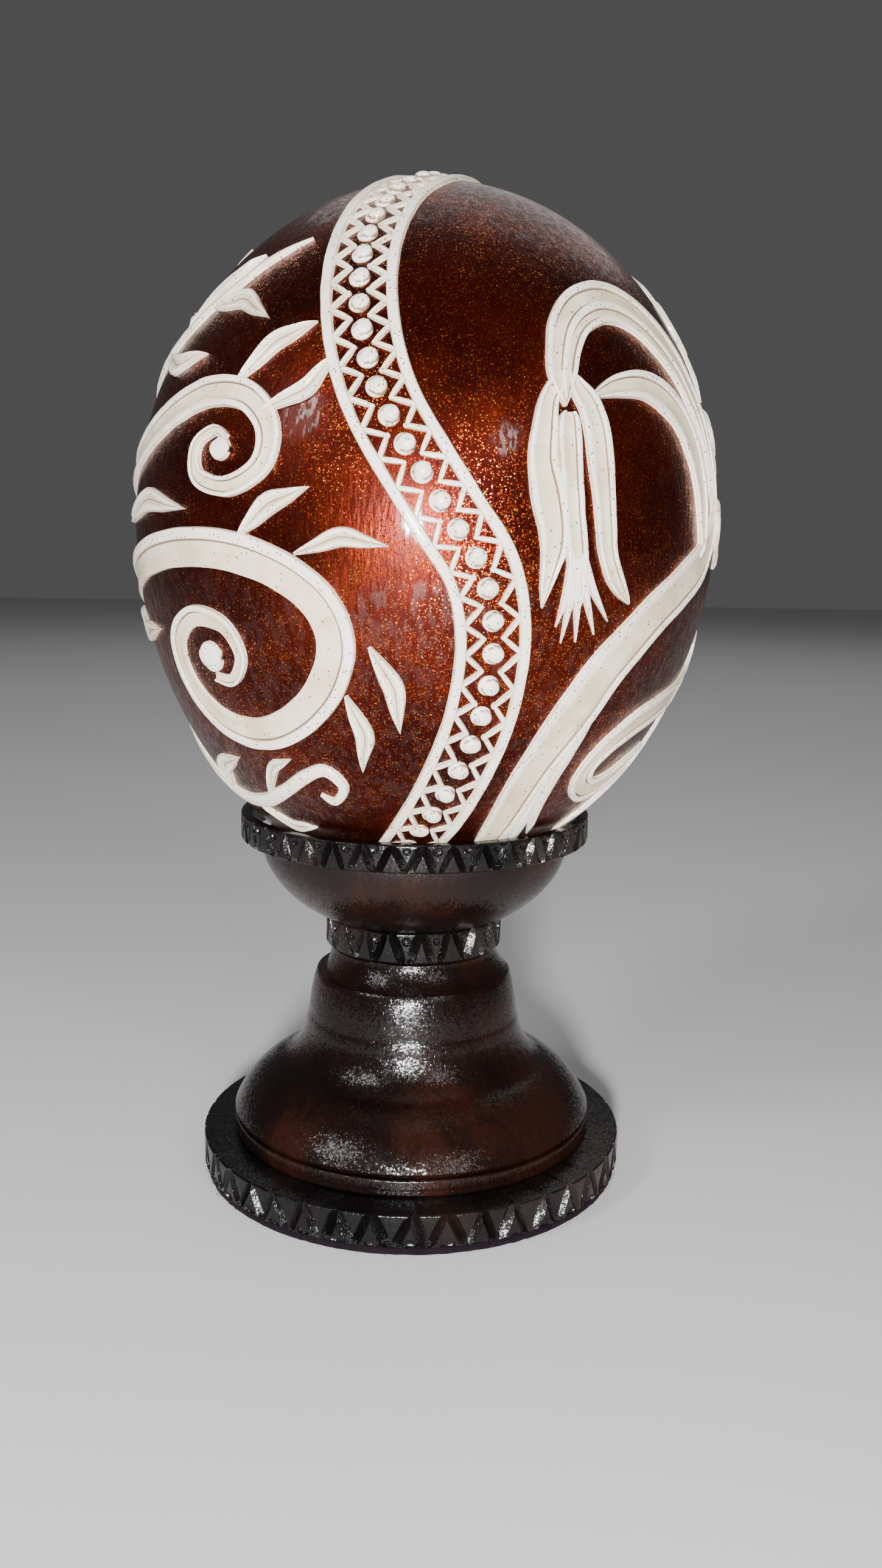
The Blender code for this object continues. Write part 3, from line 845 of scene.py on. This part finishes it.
# %% The flower's plumes, petals and stem
PLUMES = {
    "upper": [
        (22.6, 27.0, 0.5), (22.3, 32.2, 5.6), (23.3, 37.5, 7.0), (25.2, 41.8, 7.9), (29.0, 45.4, 8.8),
        (34.8, 47.7, 9.5), (41.0, 48.0, 10.0), (47.4, 46.4, 10.1), (53.2, 43.0, 10.0), (58.0, 38.4, 9.0),
        (61.8, 32.5, 8.0), (64.4, 26.0, 6.8), (66.4, 18.5, 5.2), (68.0, 12.0, 2.0),
    ],
    "lower": [
        (28.0, 29.2, 0.4), (31.5, 31.0, 3.0), (35.6, 32.4, 4.8), (41.4, 33.2, 6.0), (47.2, 32.0, 7.4),
        (52.3, 28.9, 7.3), (56.0, 24.0, 7.3), (58.2, 18.6, 6.4), (59.6, 12.0, 5.4), (60.2, 6.0, 3.2),
        (60.0, 2.0, 0.5),
    ],
}
PETALS = {
    "left": [
        (22.0, 33.6, 0.4), (21.2, 31.0, 3.3), (19.4, 27.6, 3.8), (18.6, 22.5, 5.0), (18.3, 16.8, 5.8),
        (19.6, 10.8, 7.0), (20.8, 5.6, 6.4), (21.2, 1.8, 5.4), (20.8, -2.3, 3.6), (20.4, -6.2, 1.8),
        (20.4, -9.2, 0.2),
    ],
    "middle": [
        (23.2, 26.0, 2.4), (23.2, 24.8, 4.0), (23.2, 21.3, 4.7), (23.6, 14.5, 4.6), (24.4, 7.7, 4.4),
        (25.4, 2.0, 4.5), (26.0, -1.4, 4.2), (26.5, -4.5, 3.2), (26.9, -7.5, 1.8), (27.2, -10.0, 0.3),
    ],
    "right": [
        (24.4, 33.4, 0.4), (25.6, 30.6, 4.0), (27.6, 27.6, 5.2), (28.8, 23.4, 5.7), (29.4, 17.6, 5.6),
        (30.1, 11.6, 4.9), (31.0, 5.2, 4.4), (31.8, 1.4, 4.0), (33.6, -2.4, 3.8), (36.0, -5.4, 2.6),
        (38.4, -7.6, 0.4),
    ],
}
FINE_ROOTS = [
    ((24.5, 1.0), (24.6, -5.6), (23.6, -12.4)), ((25.0, 0.0), (25.4, -7.0), (25.2, -15.2)),
    ((25.8, 0.0), (26.8, -7.2), (28.2, -14.9)), ((26.4, 0.4), (28.4, -6.4), (31.8, -13.4)),
    ((26.8, 1.0), (29.6, -5.2), (34.2, -10.9)),
]
STEMS = {
    "trunk": [
        (68.0, 12.5, 0.5), (65.4, 6.4, 5.4), (60.8, 1.0, 8.6), (53.9, -3.8, 9.0), (46.5, -9.2, 9.2),
        (41.0, -15.0, 9.7), (36.8, -20.2, 10.4), (33.9, -26.0, 10.9), (31.6, -30.8, 10.5),
        (29.6, -35.4, 9.3), (28.0, -40.4, 8.5), (27.2, -46.0, 7.9), (27.2, -52.2, 7.1),
        (28.2, -58.0, 6.1), (30.2, -63.0, 5.4),
    ],
    "loop": [
        (80.0, -22.0, 4.0), (72.0, -25.4, 5.6), (63.4, -27.6, 6.2), (54.4, -30.4, 6.4),
        (48.2, -34.2, 5.6), (45.0, -38.4, 5.2), (46.0, -42.2, 5.6), (51.0, -44.2, 6.2),
        (57.6, -43.0, 5.7), (64.0, -39.8, 5.0), (70.0, -36.0, 0.5),
    ],
    "root": [
        (52.0, -61.5, 4.0), (60.2, -57.2, 5.5), (64.5, -52.2, 6.8), (71.0, -46.7, 7.0),
        (78.0, -41.0, 6.6), (84.0, -33.0, 5.6), (85.0, -24.0, 4.2), (82.0, -16.0, 0.6),
    ],
}
STRANDS = [
    [
        (37.9, -26.6, 0.5), (36.9, -30.8, 1.8), (36.1, -35.0, 2.2), (35.3, -40.4, 2.4),
        (35.6, -45.4, 2.4), (37.0, -49.0, 2.0), (39.4, -52.0, 1.3), (41.8, -54.4, 0.2),
    ],
    [
        (33.8, -37.2, 0.3), (33.3, -41.6, 1.3), (33.4, -46.0, 2.0), (34.3, -50.2, 2.5),
        (36.0, -54.0, 2.7), (38.2, -57.6, 2.6), (40.4, -61.0, 2.0),
    ],
    [(31.0, -46.0, 0.3), (31.7, -50.2, 1.7), (33.0, -54.4, 2.3), (35.0, -58.6, 2.3), (37.0, -62.0, 1.6)],
]


def carved_group(name, groups):
    on_both_faces([carve(smooth_line(stops), section) for section, stops in groups], name)


carved_group("flower_plumes", [("fluted", PLUMES["upper"]), ("petal", PLUMES["lower"])])
petals = [("petal", PETALS[side]) for side in ("left", "middle", "right")]
fine_roots = [("rail", [(*start, 1.2), (*bend, 1.5), (*tip, 0.2)]) for start, bend, tip in FINE_ROOTS]
carved_group("flower_petals", petals + fine_roots)
stems = [("trunk", STEMS["trunk"]), ("petal", STEMS["loop"]), ("stepped", STEMS["root"])]
carved_group("flower_stem", stems + [("rail", strand) for strand in STRANDS])

# %% [markdown]
# ## The scrolls on the left
#
# The left of the band is filled with plain vine scrolls, as bold as the flower: a large scroll and a small
# one that each end in a bud, thin tendrils, and pointed leaves. A leaf is a ribbon that swells in the
# middle and has a groove for its rib.

# %% Scrolls, tendrils and leaves
SCROLLS = {
    "large": [
        (-104.0, -26.0, 0.4), (-97.0, -19.6, 4.2), (-86.0, -13.2, 6.8), (-72.0, -8.8, 7.4),
        (-60.0, -5.6, 7.6), (-48.0, -3.6, 7.6), (-36.0, -3.4, 7.6), (-25.6, -5.8, 7.6),
        (-17.8, -10.8, 7.6), (-14.6, -18.0, 7.6), (-17.0, -26.0, 7.4), (-24.0, -32.6, 7.0),
        (-34.0, -36.2, 6.6), (-45.0, -35.0, 6.0), (-52.6, -29.0, 5.4), (-53.2, -21.4, 4.8),
        (-46.6, -16.2, 4.2), (-38.2, -16.8, 3.6), (-34.6, -22.0, 3.0), (-37.6, -26.6, 2.4),
        (-42.4, -26.6, 1.6),
    ],
    "small": [
        (-104.0, 0.0, 0.4), (-96.0, 4.4, 3.6), (-86.0, 9.2, 5.6), (-74.0, 13.8, 6.4), (-64.0, 18.2, 6.8),
        (-54.0, 22.8, 6.8), (-44.0, 25.8, 6.4), (-34.6, 24.8, 5.8), (-29.0, 19.2, 5.2),
        (-29.4, 12.4, 4.6), (-36.0, 8.2, 4.0), (-43.6, 9.8, 3.4), (-45.0, 15.4, 2.8), (-40.8, 18.4, 2.2),
        (-37.6, 17.0, 1.6),
    ],
}
TENDRILS = {
    "top": [
        (-102.0, 20.0, 0.3), (-94.0, 25.0, 1.8), (-84.0, 30.0, 2.3), (-74.0, 34.4, 2.4),
        (-64.0, 39.4, 2.4), (-54.0, 45.6, 2.2), (-45.0, 51.6, 1.8), (-36.0, 56.0, 0.4),
    ],
    "side": [
        (-99.0, 35.0, 0.3), (-100.4, 40.6, 1.8), (-99.0, 46.0, 2.3), (-95.0, 51.0, 2.4),
        (-88.0, 55.4, 1.8), (-78.0, 58.0, 0.3),
    ],
    "foot": [
        (-98.0, -34.0, 0.3), (-91.0, -39.6, 2.4), (-82.0, -45.0, 3.4), (-70.0, -49.4, 3.6),
        (-57.0, -51.8, 3.6), (-45.0, -51.0, 3.4), (-34.0, -47.6, 3.0), (-25.6, -43.6, 2.8),
        (-19.6, -41.6, 2.6), (-15.6, -44.4, 2.4), (-18.6, -47.8, 1.8), (-22.4, -46.8, 0.6),
    ],
}
LEAVES = [
    [(-66.0, 39.0), (-60.5, 46.5), (-50.0, 53.5), 4.6],
    [(-57.0, 43.0), (-46.0, 44.0), (-36.0, 40.0), 4.6],
    [(-72.0, 34.5), (-62.0, 32.0), (-50.0, 33.5), 4.8],
    [(-78.0, 0.5), (-62.0, 5.0), (-47.0, 3.6), 5.0],
    [(-33.0, -0.5), (-27.4, 5.4), (-20.0, 9.0), 4.4],
    [(-22.0, -3.0), (-14.0, 0.6), (-6.0, -0.4), 3.8],
    [(-38.0, 27.6), (-32.0, 35.0), (-24.0, 39.0), 4.6],
    [(-31.0, 22.0), (-23.0, 26.6), (-18.6, 33.0), 3.8],
    [(-62.0, -50.6), (-56.0, -45.0), (-46.0, -42.4), 4.4],
    [(-50.0, -52.6), (-40.0, -56.4), (-29.0, -55.4), 4.0],
    [(-40.0, -49.0), (-34.0, -42.6), (-28.0, -40.4), 2.6],
    [(-8.6, -18.0), (-4.0, -25.0), (-2.4, -33.0), 4.2],
    [(-13.0, -27.0), (-9.6, -34.0), (-10.4, -41.0), 4.0],
    [(-84.0, -17.0), (-74.0, -21.0), (-62.0, -20.0), 4.6],
    [(-101.0, 43.0), (-105.0, 49.0), (-102.0, 55.0), 3.8],
    [(-97.6, 49.5), (-97.6, 56.0), (-90.0, 61.5), 4.0],
    [(-98.0, 46.5), (-90.0, 43.6), (-80.0, 44.6), 4.4],
    [(-96.5, 23.4), (-100.0, 28.4), (-97.0, 34.0), 3.8],
    [(-97.0, 4.0), (-99.6, 9.6), (-97.0, 15.4), 4.0],
]


def leaf_line(base, middle, tip, width):
    """A line that swells from a point to its full width and back to a point."""
    halfway = [blended(base[axis], middle[axis], 0.5) for axis in (0, 1)]
    beyond = [blended(middle[axis], tip[axis], 0.5) for axis in (0, 1)]
    stops = [(*base, 0.6), (*halfway, 0.72 * width), (*middle, width), (*beyond, 0.66 * width), (*tip, 0.1)]
    return smooth_line(stops)


def bud(turn, height, width):
    """A round bud in the eye of a scroll."""
    centre = at(turn, height)
    across = (at(turn + 1, height) - centre).normalized()
    reach = width / 2 * MM
    rounding = [-1, -0.92, -0.7, -0.38, 0, 0.38, 0.7, 0.92, 1]
    line = [(centre + across * reach * part, 2 * reach * math.sqrt(1 - part * part)) for part in rounding]
    return carve(line, "rail", 1.1, 0)


carved_group("vine_scrolls", [("stepped", SCROLLS["large"]), ("petal", SCROLLS["small"])])
carved_group("vine_tendrils", [("rail", line) for line in TENDRILS.values()])
on_both_faces([carve(leaf_line(*leaf), "leaf") for leaf in LEAVES], "vine_leaves")
on_both_faces([bud(-42.5, -23.0, 6.0), bud(-38.6, 15.0, 4.6)], "vine_buds")

# %% [markdown]
# ## Turned pieces
#
# A lathe cuts one outline all the way round, and Spin does the same. The outline's points are put on a
# circle's vertices, and the spin carries them round the upright axis. An outline that starts and ends on
# the axis makes a solid piece, and a closed outline away from it makes a ring.

# %% Turn an outline
ROUND_STEPS = 144


def turned(name, outline, steps=ROUND_STEPS, smooth=32):
    bpy.ops.object.select_all(action="DESELECT")
    bpy.ops.mesh.primitive_circle_add(vertices=len(outline), radius=1, fill_type="NOTHING")
    piece = named(bpy.context.object, name)
    for vertex, (radius, height) in zip(piece.data.vertices, outline):
        vertex.co = (radius, 0, height)
    mode("EDIT")
    if outline[0][0] == 0 and outline[-1][0] == 0:
        bpy.ops.mesh.select_mode(type="EDGE")
        bpy.ops.mesh.select_all(action="DESELECT")
        mode("OBJECT")
        for edge in piece.data.edges:
            edge.select = all(piece.data.vertices[index].co.x == 0 for index in edge.vertices)
        mode("EDIT")
        bpy.ops.mesh.delete(type="EDGE")
    bpy.ops.mesh.select_mode(type="VERT")
    bpy.ops.mesh.select_all(action="SELECT")
    bpy.ops.mesh.spin(steps=steps, angle=TURN, center=(0, 0, 0), axis=(0, 0, 1))
    mode("OBJECT")
    return close_up(piece, smooth=smooth)


def rounded_side(radius, low, high, edge):
    """The outer side of a disc or ring, from below to above, with both edges rounded."""
    return [*corner(radius - edge, low + edge, edge, -90), *corner(radius - edge, high - edge, edge, 0)]


def corner(radius, height, size, start, steps=4):
    """A rounded corner's points, a quarter turn on from a start angle in degrees, round its centre."""
    angles = [math.radians(start + 90 * step / steps) for step in range(steps + 1)]
    return [(radius + size * math.cos(angle), height + size * math.sin(angle)) for angle in angles]


def smooth_run(start, end, steps, fullness):
    """A bowed run between two points: fullness 0 is straight, 1 a quarter round, and below 0 hollow."""
    run = []
    for step in range(1, steps + 1):
        part = step / steps
        angle = part * math.pi / 2
        bowed = (math.sin(angle), 1 - math.cos(angle))
        parts = [blended(part, bow, abs(fullness)) for bow in (bowed if fullness > 0 else bowed[::-1])]
        run.append(tuple(blended(start[axis], end[axis], parts[axis]) for axis in (0, 1)))
    return run


def softened(outline, rounds=2):
    """The same outline with its corners cut again and again, so that one form flows into the next."""
    for _ in range(rounds):
        inner = []
        for start, end in zip(outline, outline[1:]):
            for part in (0.25, 0.75):
                inner.append(tuple(blended(start[axis], end[axis], part) for axis in (0, 1)))
        outline = [outline[0], *inner, outline[-1]]
    return outline


def stands_for(piece, node, material):
    """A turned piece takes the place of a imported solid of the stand."""
    dressed(piece, material)
    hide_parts(node)
    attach(piece, "stand")


# %% [markdown]
# ## The foot, the plinth and the bell
#
# The foot is a black disc with a carved edge. A low plinth carries the bell, which is a short drum, a
# soft shoulder, a hollow cove and a round roll at its foot. Fine grooves mark where one form ends.

# %% Plinth and bell
def plinth():
    low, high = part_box("plinth_ring")
    radius, edge = high.x, 0.5 * MM
    groove = blended(low.z, high.z, 0.42)
    outline = [
        (0, low.z), *corner(radius - edge, low.z + edge, edge, -90),
        (radius, groove - 0.25 * MM), (radius - 0.3 * MM, groove), (radius, groove + 0.25 * MM),
        *corner(radius - edge, high.z - edge, edge, 0), (0, high.z),
    ]
    return turned("plinth_turned", outline)


def bell():
    low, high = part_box("pedestal_bell")
    height, rim = high.z - low.z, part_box("plinth_ring")[1].x
    shoulder = (25.2 * MM, high.z - 0.40 * height)
    cove = (rim - 11.2 * MM, high.z - 0.645 * height)
    roll = (rim, low.z + 0.03 * height)
    drum = [(22.5 * MM, high.z), (22.9 * MM, high.z - 0.8 * MM), (23.3 * MM, high.z - 2.4 * MM)]
    drum += smooth_run(drum[-1], (24.5 * MM, high.z - 0.30 * height), 4, 0.3)
    drum += smooth_run(drum[-1], shoulder, 3, 0.35)
    drum += smooth_run(shoulder, cove, 7, -0.55)
    drum += smooth_run(cove, roll, 9, 0.45)
    foot = [(rim - 0.2 * MM, low.z + 0.4 * MM), (rim - 0.6 * MM, low.z), (0, low.z)]
    return turned("bell_turned", [(0, high.z), *softened(drum, 3), *foot])


stands_for(plinth(), "plinth_ring", STAINED)
stands_for(bell(), "pedestal_bell", STAINED)


# %% [markdown]
# ## The neck and the bowl
#
# A short neck rises from the bell and ends in a peg inside the neck collar. The bowl's outside is drawn
# by a power of a sine, full near its edge and flat below, and its inside follows the egg at a distance.

# %% Neck and bowl
NECK_FLARE = 3.4 * MM
PEG_RADIUS = 14.5 * MM
BOWL_WALL = 2.9 * MM
BOWL_FLOOR = 3.0 * MM


def neck():
    low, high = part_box("neck_post")
    peg, edge = PEG_RADIUS, 0.6 * MM
    flared = high.x + 1.3 * MM
    radius = flared - NECK_FLARE
    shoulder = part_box("neck_collar")[0].z - 0.5 * MM
    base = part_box("pedestal_bell")[1].z
    cove = smooth_run((flared, base), (radius, low.z + 5.0 * MM), 9, 0.4)
    outline = [
        (0, base), (flared, base), *cove, *corner(radius - edge, shoulder - edge, edge, 0), (peg, shoulder),
        (peg, high.z), (0, high.z),
    ]
    post = turned("neck_turned", outline)
    for vertex in post.data.vertices:
        reach = math.hypot(vertex.co.x, vertex.co.y)
        if reach > radius + 0.05 * MM:
            fuller = 0.5 + 0.5 * eased(2 * (0.95 + vertex.co.x / reach))
            kept = (radius + (reach - radius) * fuller) / reach
            vertex.co.x *= kept
            vertex.co.y *= kept
    return post


def bowl():
    low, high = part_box("cup_bowl")
    foot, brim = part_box("neck_collar")[1].x, high.x
    outside, inside = [(0, low.z)], []
    for step in range(21):
        angle = math.pi / 2 * step / 20
        radius = foot + (brim - foot) * math.sin(angle) ** 1.6
        outside.append((radius, low.z + (high.z - low.z) * (1 - math.cos(angle))))
    inner_brim = brim - BOWL_WALL
    for step in range(15):
        angle = math.pi / 2 * (1 - step / 14)
        depth = (high.z - low.z - BOWL_FLOOR) * math.cos(angle) ** 1.3
        inside.append((inner_brim * math.sin(angle), high.z - depth))
    inside[-1] = (0, low.z + BOWL_FLOOR)
    return turned("bowl_turned", outside + inside)


stands_for(neck(), "neck_post", STAINED)
stands_for(bowl(), "cup_bowl", STAINED)

# %% [markdown]
# ## Chip carving
#
# The rim, the neck collar and the foot carry a row of chip carving: slanting V-cuts that lean left and
# right in turn, with small scoops between them. A V-cut is a knife stroke that is deep in the middle and
# runs out at both ends. A sphere with four sides and two rings is just that shape, so it is the cutter.
# The cutters are joined and taken away with one Boolean for each slant, and each differs a little.

# %% Chip-carving cutters
def cutter(angle, radius, height, across, depth, length, lean):
    """A four-sided cutter on the edge of a ring, leaning to one side."""
    bpy.ops.object.select_all(action="DESELECT")
    bpy.ops.mesh.primitive_uv_sphere_add(segments=4, ring_count=2, radius=1)
    knife = bpy.context.object
    turn = Matrix.Rotation(angle, 4, "Z") @ Matrix.Translation((radius, 0, height))
    blade = Matrix.Rotation(lean, 4, "X") @ Matrix.Diagonal((depth, across, length / 2, 1))
    knife.data.transform(turn @ blade)
    return knife


def scoop(angle, radius, height, width, depth, tall):
    """A round cutter for a small scoop."""
    bpy.ops.object.select_all(action="DESELECT")
    bpy.ops.mesh.primitive_uv_sphere_add(segments=10, ring_count=6, radius=1)
    gouge = bpy.context.object
    turn = Matrix.Rotation(angle, 4, "Z") @ Matrix.Translation((radius, 0, height))
    gouge.data.transform(turn @ Matrix.Diagonal((depth, width / 2, tall / 2, 1)))
    return gouge


def cut_away(piece, cutters):
    tool = joined(cutters, "cutters")
    only(piece)
    cut = piece.modifiers.new("cut", "BOOLEAN")
    cut.operation = "DIFFERENCE"
    cut.solver = "EXACT"
    cut.object = tool
    bpy.ops.object.modifier_apply(modifier=cut.name)
    bpy.data.objects.remove(tool)
    return piece


def chip_carved(piece, count, radius, low, high, pattern, seed):
    """Cuts a row of pairs of slanting strokes and scoops round a ring."""
    wander = random.Random(seed)
    middle, tall = (low + high) / 2, high - low
    for side in (-1, 1):
        strokes = []
        for number in range(count):
            angle = TURN * (number + side * pattern["spread"] + wander.uniform(-0.09, 0.09)) / count
            strokes.append(cutter(
                angle, radius, middle + wander.uniform(-0.03, 0.03) * tall + pattern["rise"] * tall,
                pattern["across"] * wander.uniform(0.7, 1.2), pattern["depth"] * wander.uniform(0.75, 1.2),
                tall * pattern["length"], side * (pattern["lean"] + wander.uniform(-0.10, 0.10)),
            ))
        cut_away(piece, strokes)
    scoops = []
    for number in range(count):
        angle = TURN * (number + pattern["scoop_at"] + wander.uniform(-0.04, 0.04)) / count
        place = low + tall * (pattern["scoop_rise"] + wander.uniform(-0.03, 0.03))
        width = pattern["scoop"] * wander.uniform(0.85, 1.15)
        tall_scoop = width * pattern["scoop_tall"]
        scoops.append(scoop(angle, radius, place, width, pattern["scoop_depth"], tall_scoop))
    cut_away(piece, scoops)
    return close_up(piece, merge=0.005 * MM, smooth=28)


# %% The foot
FOOT_CUTS = {
    "spread": 0.25, "rise": 0.0, "across": 1.45 * MM, "depth": 1.6 * MM, "length": 1.42, "lean": 0.42,
    "scoop_at": 0.0, "scoop_rise": 0.10, "scoop": 3.6 * MM, "scoop_depth": 0.9 * MM, "scoop_tall": 0.62,
}


def foot():
    low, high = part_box("foot_disc")
    radius, edge = high.y, 0.5 * MM
    outline = [(0, low.z), *rounded_side(radius, low.z, high.z, edge), (0, high.z)]
    disc = turned("foot_carved", outline, 240)
    return chip_carved(disc, 40, radius, low.z, high.z, FOOT_CUTS, 3)


stands_for(foot(), "foot_disc", BLACKENED)

# %% The neck collar
COLLAR_CUTS = {
    "spread": 0.23, "rise": 0.0, "across": 1.2 * MM, "depth": 1.5 * MM, "length": 1.36, "lean": -0.34,
    "scoop_at": 0.0, "scoop_rise": 0.74, "scoop": 2.0 * MM, "scoop_depth": 0.8 * MM, "scoop_tall": 1.0,
}


def neck_collar():
    low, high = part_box("neck_collar")
    radius, bore, edge = high.y, 14.9 * MM, 0.5 * MM
    outline = [(bore, low.z), *rounded_side(radius, low.z, high.z, edge), (bore, high.z)]
    ring = turned("neck_collar_carved", outline, 190)
    return chip_carved(ring, 19, radius, low.z, high.z, COLLAR_CUTS, 5)


stands_for(neck_collar(), "neck_collar", BLACKENED)

# %% The rim collar
RIM_CUTS = {
    "spread": 0.25, "rise": -0.03, "across": 1.15 * MM, "depth": 1.35 * MM, "length": 1.36, "lean": -0.40,
    "scoop_at": 0.0, "scoop_rise": 0.80, "scoop": 2.0 * MM, "scoop_depth": 0.55 * MM, "scoop_tall": 0.9,
}


def rim_collar():
    low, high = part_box("rim_collar")
    radius, wall, edge, inner_edge = high.y, 2.3 * MM, 0.5 * MM, 0.3 * MM
    bore = radius - wall
    outline = [
        (bore + inner_edge, low.z), *rounded_side(radius, low.z, high.z, edge), (bore + inner_edge, high.z),
        (bore, high.z - inner_edge), (bore, low.z + inner_edge),
    ]
    ring = turned("rim_collar_carved", outline, 234)
    return chip_carved(ring, 39, radius, low.z, high.z, RIM_CUTS, 9)


stands_for(rim_collar(), "rim_collar", BLACKENED)

# %% [markdown]
# ## The felts
#
# The sole is a thick felt disc under the foot. Its cut edge is uneven and short fibres stick out of it.
# Each fibre is a thin three-sided spike that is modelled once and copied round the edge. A second felt
# ring lies in the bowl and carries the egg, with its edge rounded over.

# %% The sole and its fibres
def felt_sole():
    low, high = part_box("felt_pad")
    radius, edge = high.y, 0.55 * MM
    outline = [(0, low.z), *rounded_side(radius, low.z, high.z, edge), (0, high.z)]
    sole = turned("felt_sole", outline, 240, 60)
    for vertex in sole.data.vertices:
        if math.hypot(vertex.co.x, vertex.co.y) > radius - 0.7 * MM:
            ragged = 0.25 * MM * noise.noise(vertex.co / (0.9 * MM))
            vertex.co += Vector((vertex.co.x, vertex.co.y, 0)).normalized() * ragged
    return sole


FIBRES = 520


def sole_fibres():
    low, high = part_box("felt_pad")
    wander = random.Random(21)
    fibres = []
    for number in range(FIBRES):
        angle = TURN * number / FIBRES + wander.uniform(-0.01, 0.01)
        length, thick = wander.uniform(0.5, 1.5) * MM, 0.045 * MM
        bpy.ops.object.select_all(action="DESELECT")
        bpy.ops.mesh.primitive_cone_add(vertices=3, radius1=thick, radius2=thick * 0.4, depth=length)
        fibre = bpy.context.object
        aside, upward = wander.uniform(-0.9, 0.9), wander.uniform(-0.5, 0.3)
        aim = Matrix.Rotation(aside, 4, "Z") @ Matrix.Rotation(math.pi / 2 + upward, 4, "Y")
        height = wander.uniform(low.z + 0.25 * MM, high.z - 0.2 * MM)
        root = Matrix.Rotation(angle, 4, "Z") @ Matrix.Translation((high.y - 0.1 * MM, 0, height))
        fibre.data.transform(root @ aim @ Matrix.Translation((0, 0, length / 2 - 0.2 * MM)))
        fibres.append(fibre)
    fuzz = joined(fibres, "sole_fibres")
    for vertex in fuzz.data.vertices:
        vertex.co.z = max(vertex.co.z, low.z + 0.02 * MM)
    return fuzz


stands_for(felt_sole(), "felt_pad", SOLE_FELT)
fuzz = dressed(sole_fibres(), SOLE_FELT)
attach(fuzz, "stand")


# %% The seat ring
def seat_ring():
    """A felt ring whose top is pressed to the egg's shape."""
    low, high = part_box("seat_ring")
    reaches = [math.hypot(vertex.co.x, vertex.co.y) for vertex in frame["nodes"]["seat_ring"].data.vertices]
    bore, radius, edge = min(reaches), max(reaches), 0.6 * MM
    outline = [
        *rounded_side(radius, low.z, high.z, edge),
        *[(blended(radius - edge, bore + edge, step / 8), high.z) for step in range(1, 8)],
        *corner(bore + edge, high.z - edge, edge, 90), *corner(bore + edge, low.z + edge, edge, 180),
    ]
    felt_ring = turned("seat_felt_ring", outline, 180, 60)
    to_egg = EGG_AXES.inverted()
    for vertex in felt_ring.data.vertices:
        gap = (0.35 + 0.10 * noise.noise(vertex.co / (1.2 * MM))) * MM
        while vertex.co.z > low.z + 0.1 * MM and within_egg(to_egg @ vertex.co, gap):
            vertex.co.z -= 0.04 * MM
    return felt_ring


def within_egg(place, gap):
    return place.length < settle(place, gap).length


seat_felt_ring = dressed(seat_ring(), SEAT_FELT)
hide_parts("seat_ring")
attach(seat_felt_ring, "seat")
print("seat ring top at", round(max(vertex.co.z for vertex in seat_felt_ring.data.vertices) / MM, 1), "mm")

# %% The dowel and the screws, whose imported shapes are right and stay
dressed(frame["nodes"]["centre_dowel"], PLAIN_WOOD)
for number in (1, 2, 3):
    dressed(frame["nodes"][f"foot_screw_{number}"], STEEL)
print("dowel and 3 screws have their finishes")

# %% [markdown]
# ## Floor, light and camera
#
# The object stands on a plain pale floor under soft light: a large lamp on the left and one on the right,
# a weak one above, and a small soft lamp beside the camera, which lights up the copper flakes in front.

# %% Floor and light
bpy.ops.object.select_all(action="DESELECT")
bpy.ops.mesh.primitive_plane_add(size=6)
floor = named(bpy.context.object, "floor")


def floor_finish():
    finish = Finish("pale_floor")
    tone = finish.ramp(finish.cloud(0.4, 2, 0.5), (0.3, (0.66, 0.65, 0.65)), (0.7, (0.69, 0.68, 0.68)))
    return finish.done(Base_Color=tone, Roughness=0.8)


dressed(floor, floor_finish())

world = bpy.data.worlds.new("studio")
bpy.context.scene.world = world
world.use_nodes = True
world.node_tree.nodes["Background"].inputs["Color"].default_value = (0.52, 0.51, 0.52, 1)
world.node_tree.nodes["Background"].inputs["Strength"].default_value = 0.16

TARGET = Vector((0, 0, 0.12))


def lamp(name, azimuth, elevation, distance, size, power):
    """A square soft lamp that looks at the object. Azimuth 0 is in front and 90 on the right."""
    a, e = math.radians(azimuth), math.radians(elevation)
    away = Vector((math.sin(a) * math.cos(e), -math.cos(a) * math.cos(e), math.sin(e)))
    bpy.ops.object.light_add(type="AREA", location=TARGET + away * distance)
    light = bpy.context.object
    light.name = name
    light.rotation_euler = away.to_track_quat("Z", "Y").to_euler()
    light.data.shape = "DISK"
    light.data.size = size
    light.data.energy = power


lamp("left_lamp", -52, 32, 1.3, 0.30, 5.5)
lamp("right_lamp", 30, 26, 1.4, 0.22, 2.4)
lamp("top_lamp", 170, 50, 1.7, 1.6, 5)
lamp("front_lamp", -4, 4, 0.62, 0.07, 12)

# %% The camera
CAMERA_PLACE = Vector((0.6, -301.0, 144.8)) * MM
LOOKS_DOWN, LOOKS_RIGHT, ROLLED = (math.radians(angle) for angle in (10.25, 1.01, 0.855))
bpy.ops.object.camera_add()
camera = bpy.context.object
aim = Matrix.Rotation(-LOOKS_RIGHT, 4, "Z") @ Matrix.Rotation(math.pi / 2 - LOOKS_DOWN, 4, "X")
camera.matrix_world = Matrix.Translation(CAMERA_PLACE) @ aim @ Matrix.Rotation(ROLLED, 4, "Z")
camera.data.sensor_fit = "VERTICAL"
camera.data.sensor_height = 36
camera.data.lens = 30.47
camera.data.clip_start = 0.01
bpy.context.scene.camera = camera
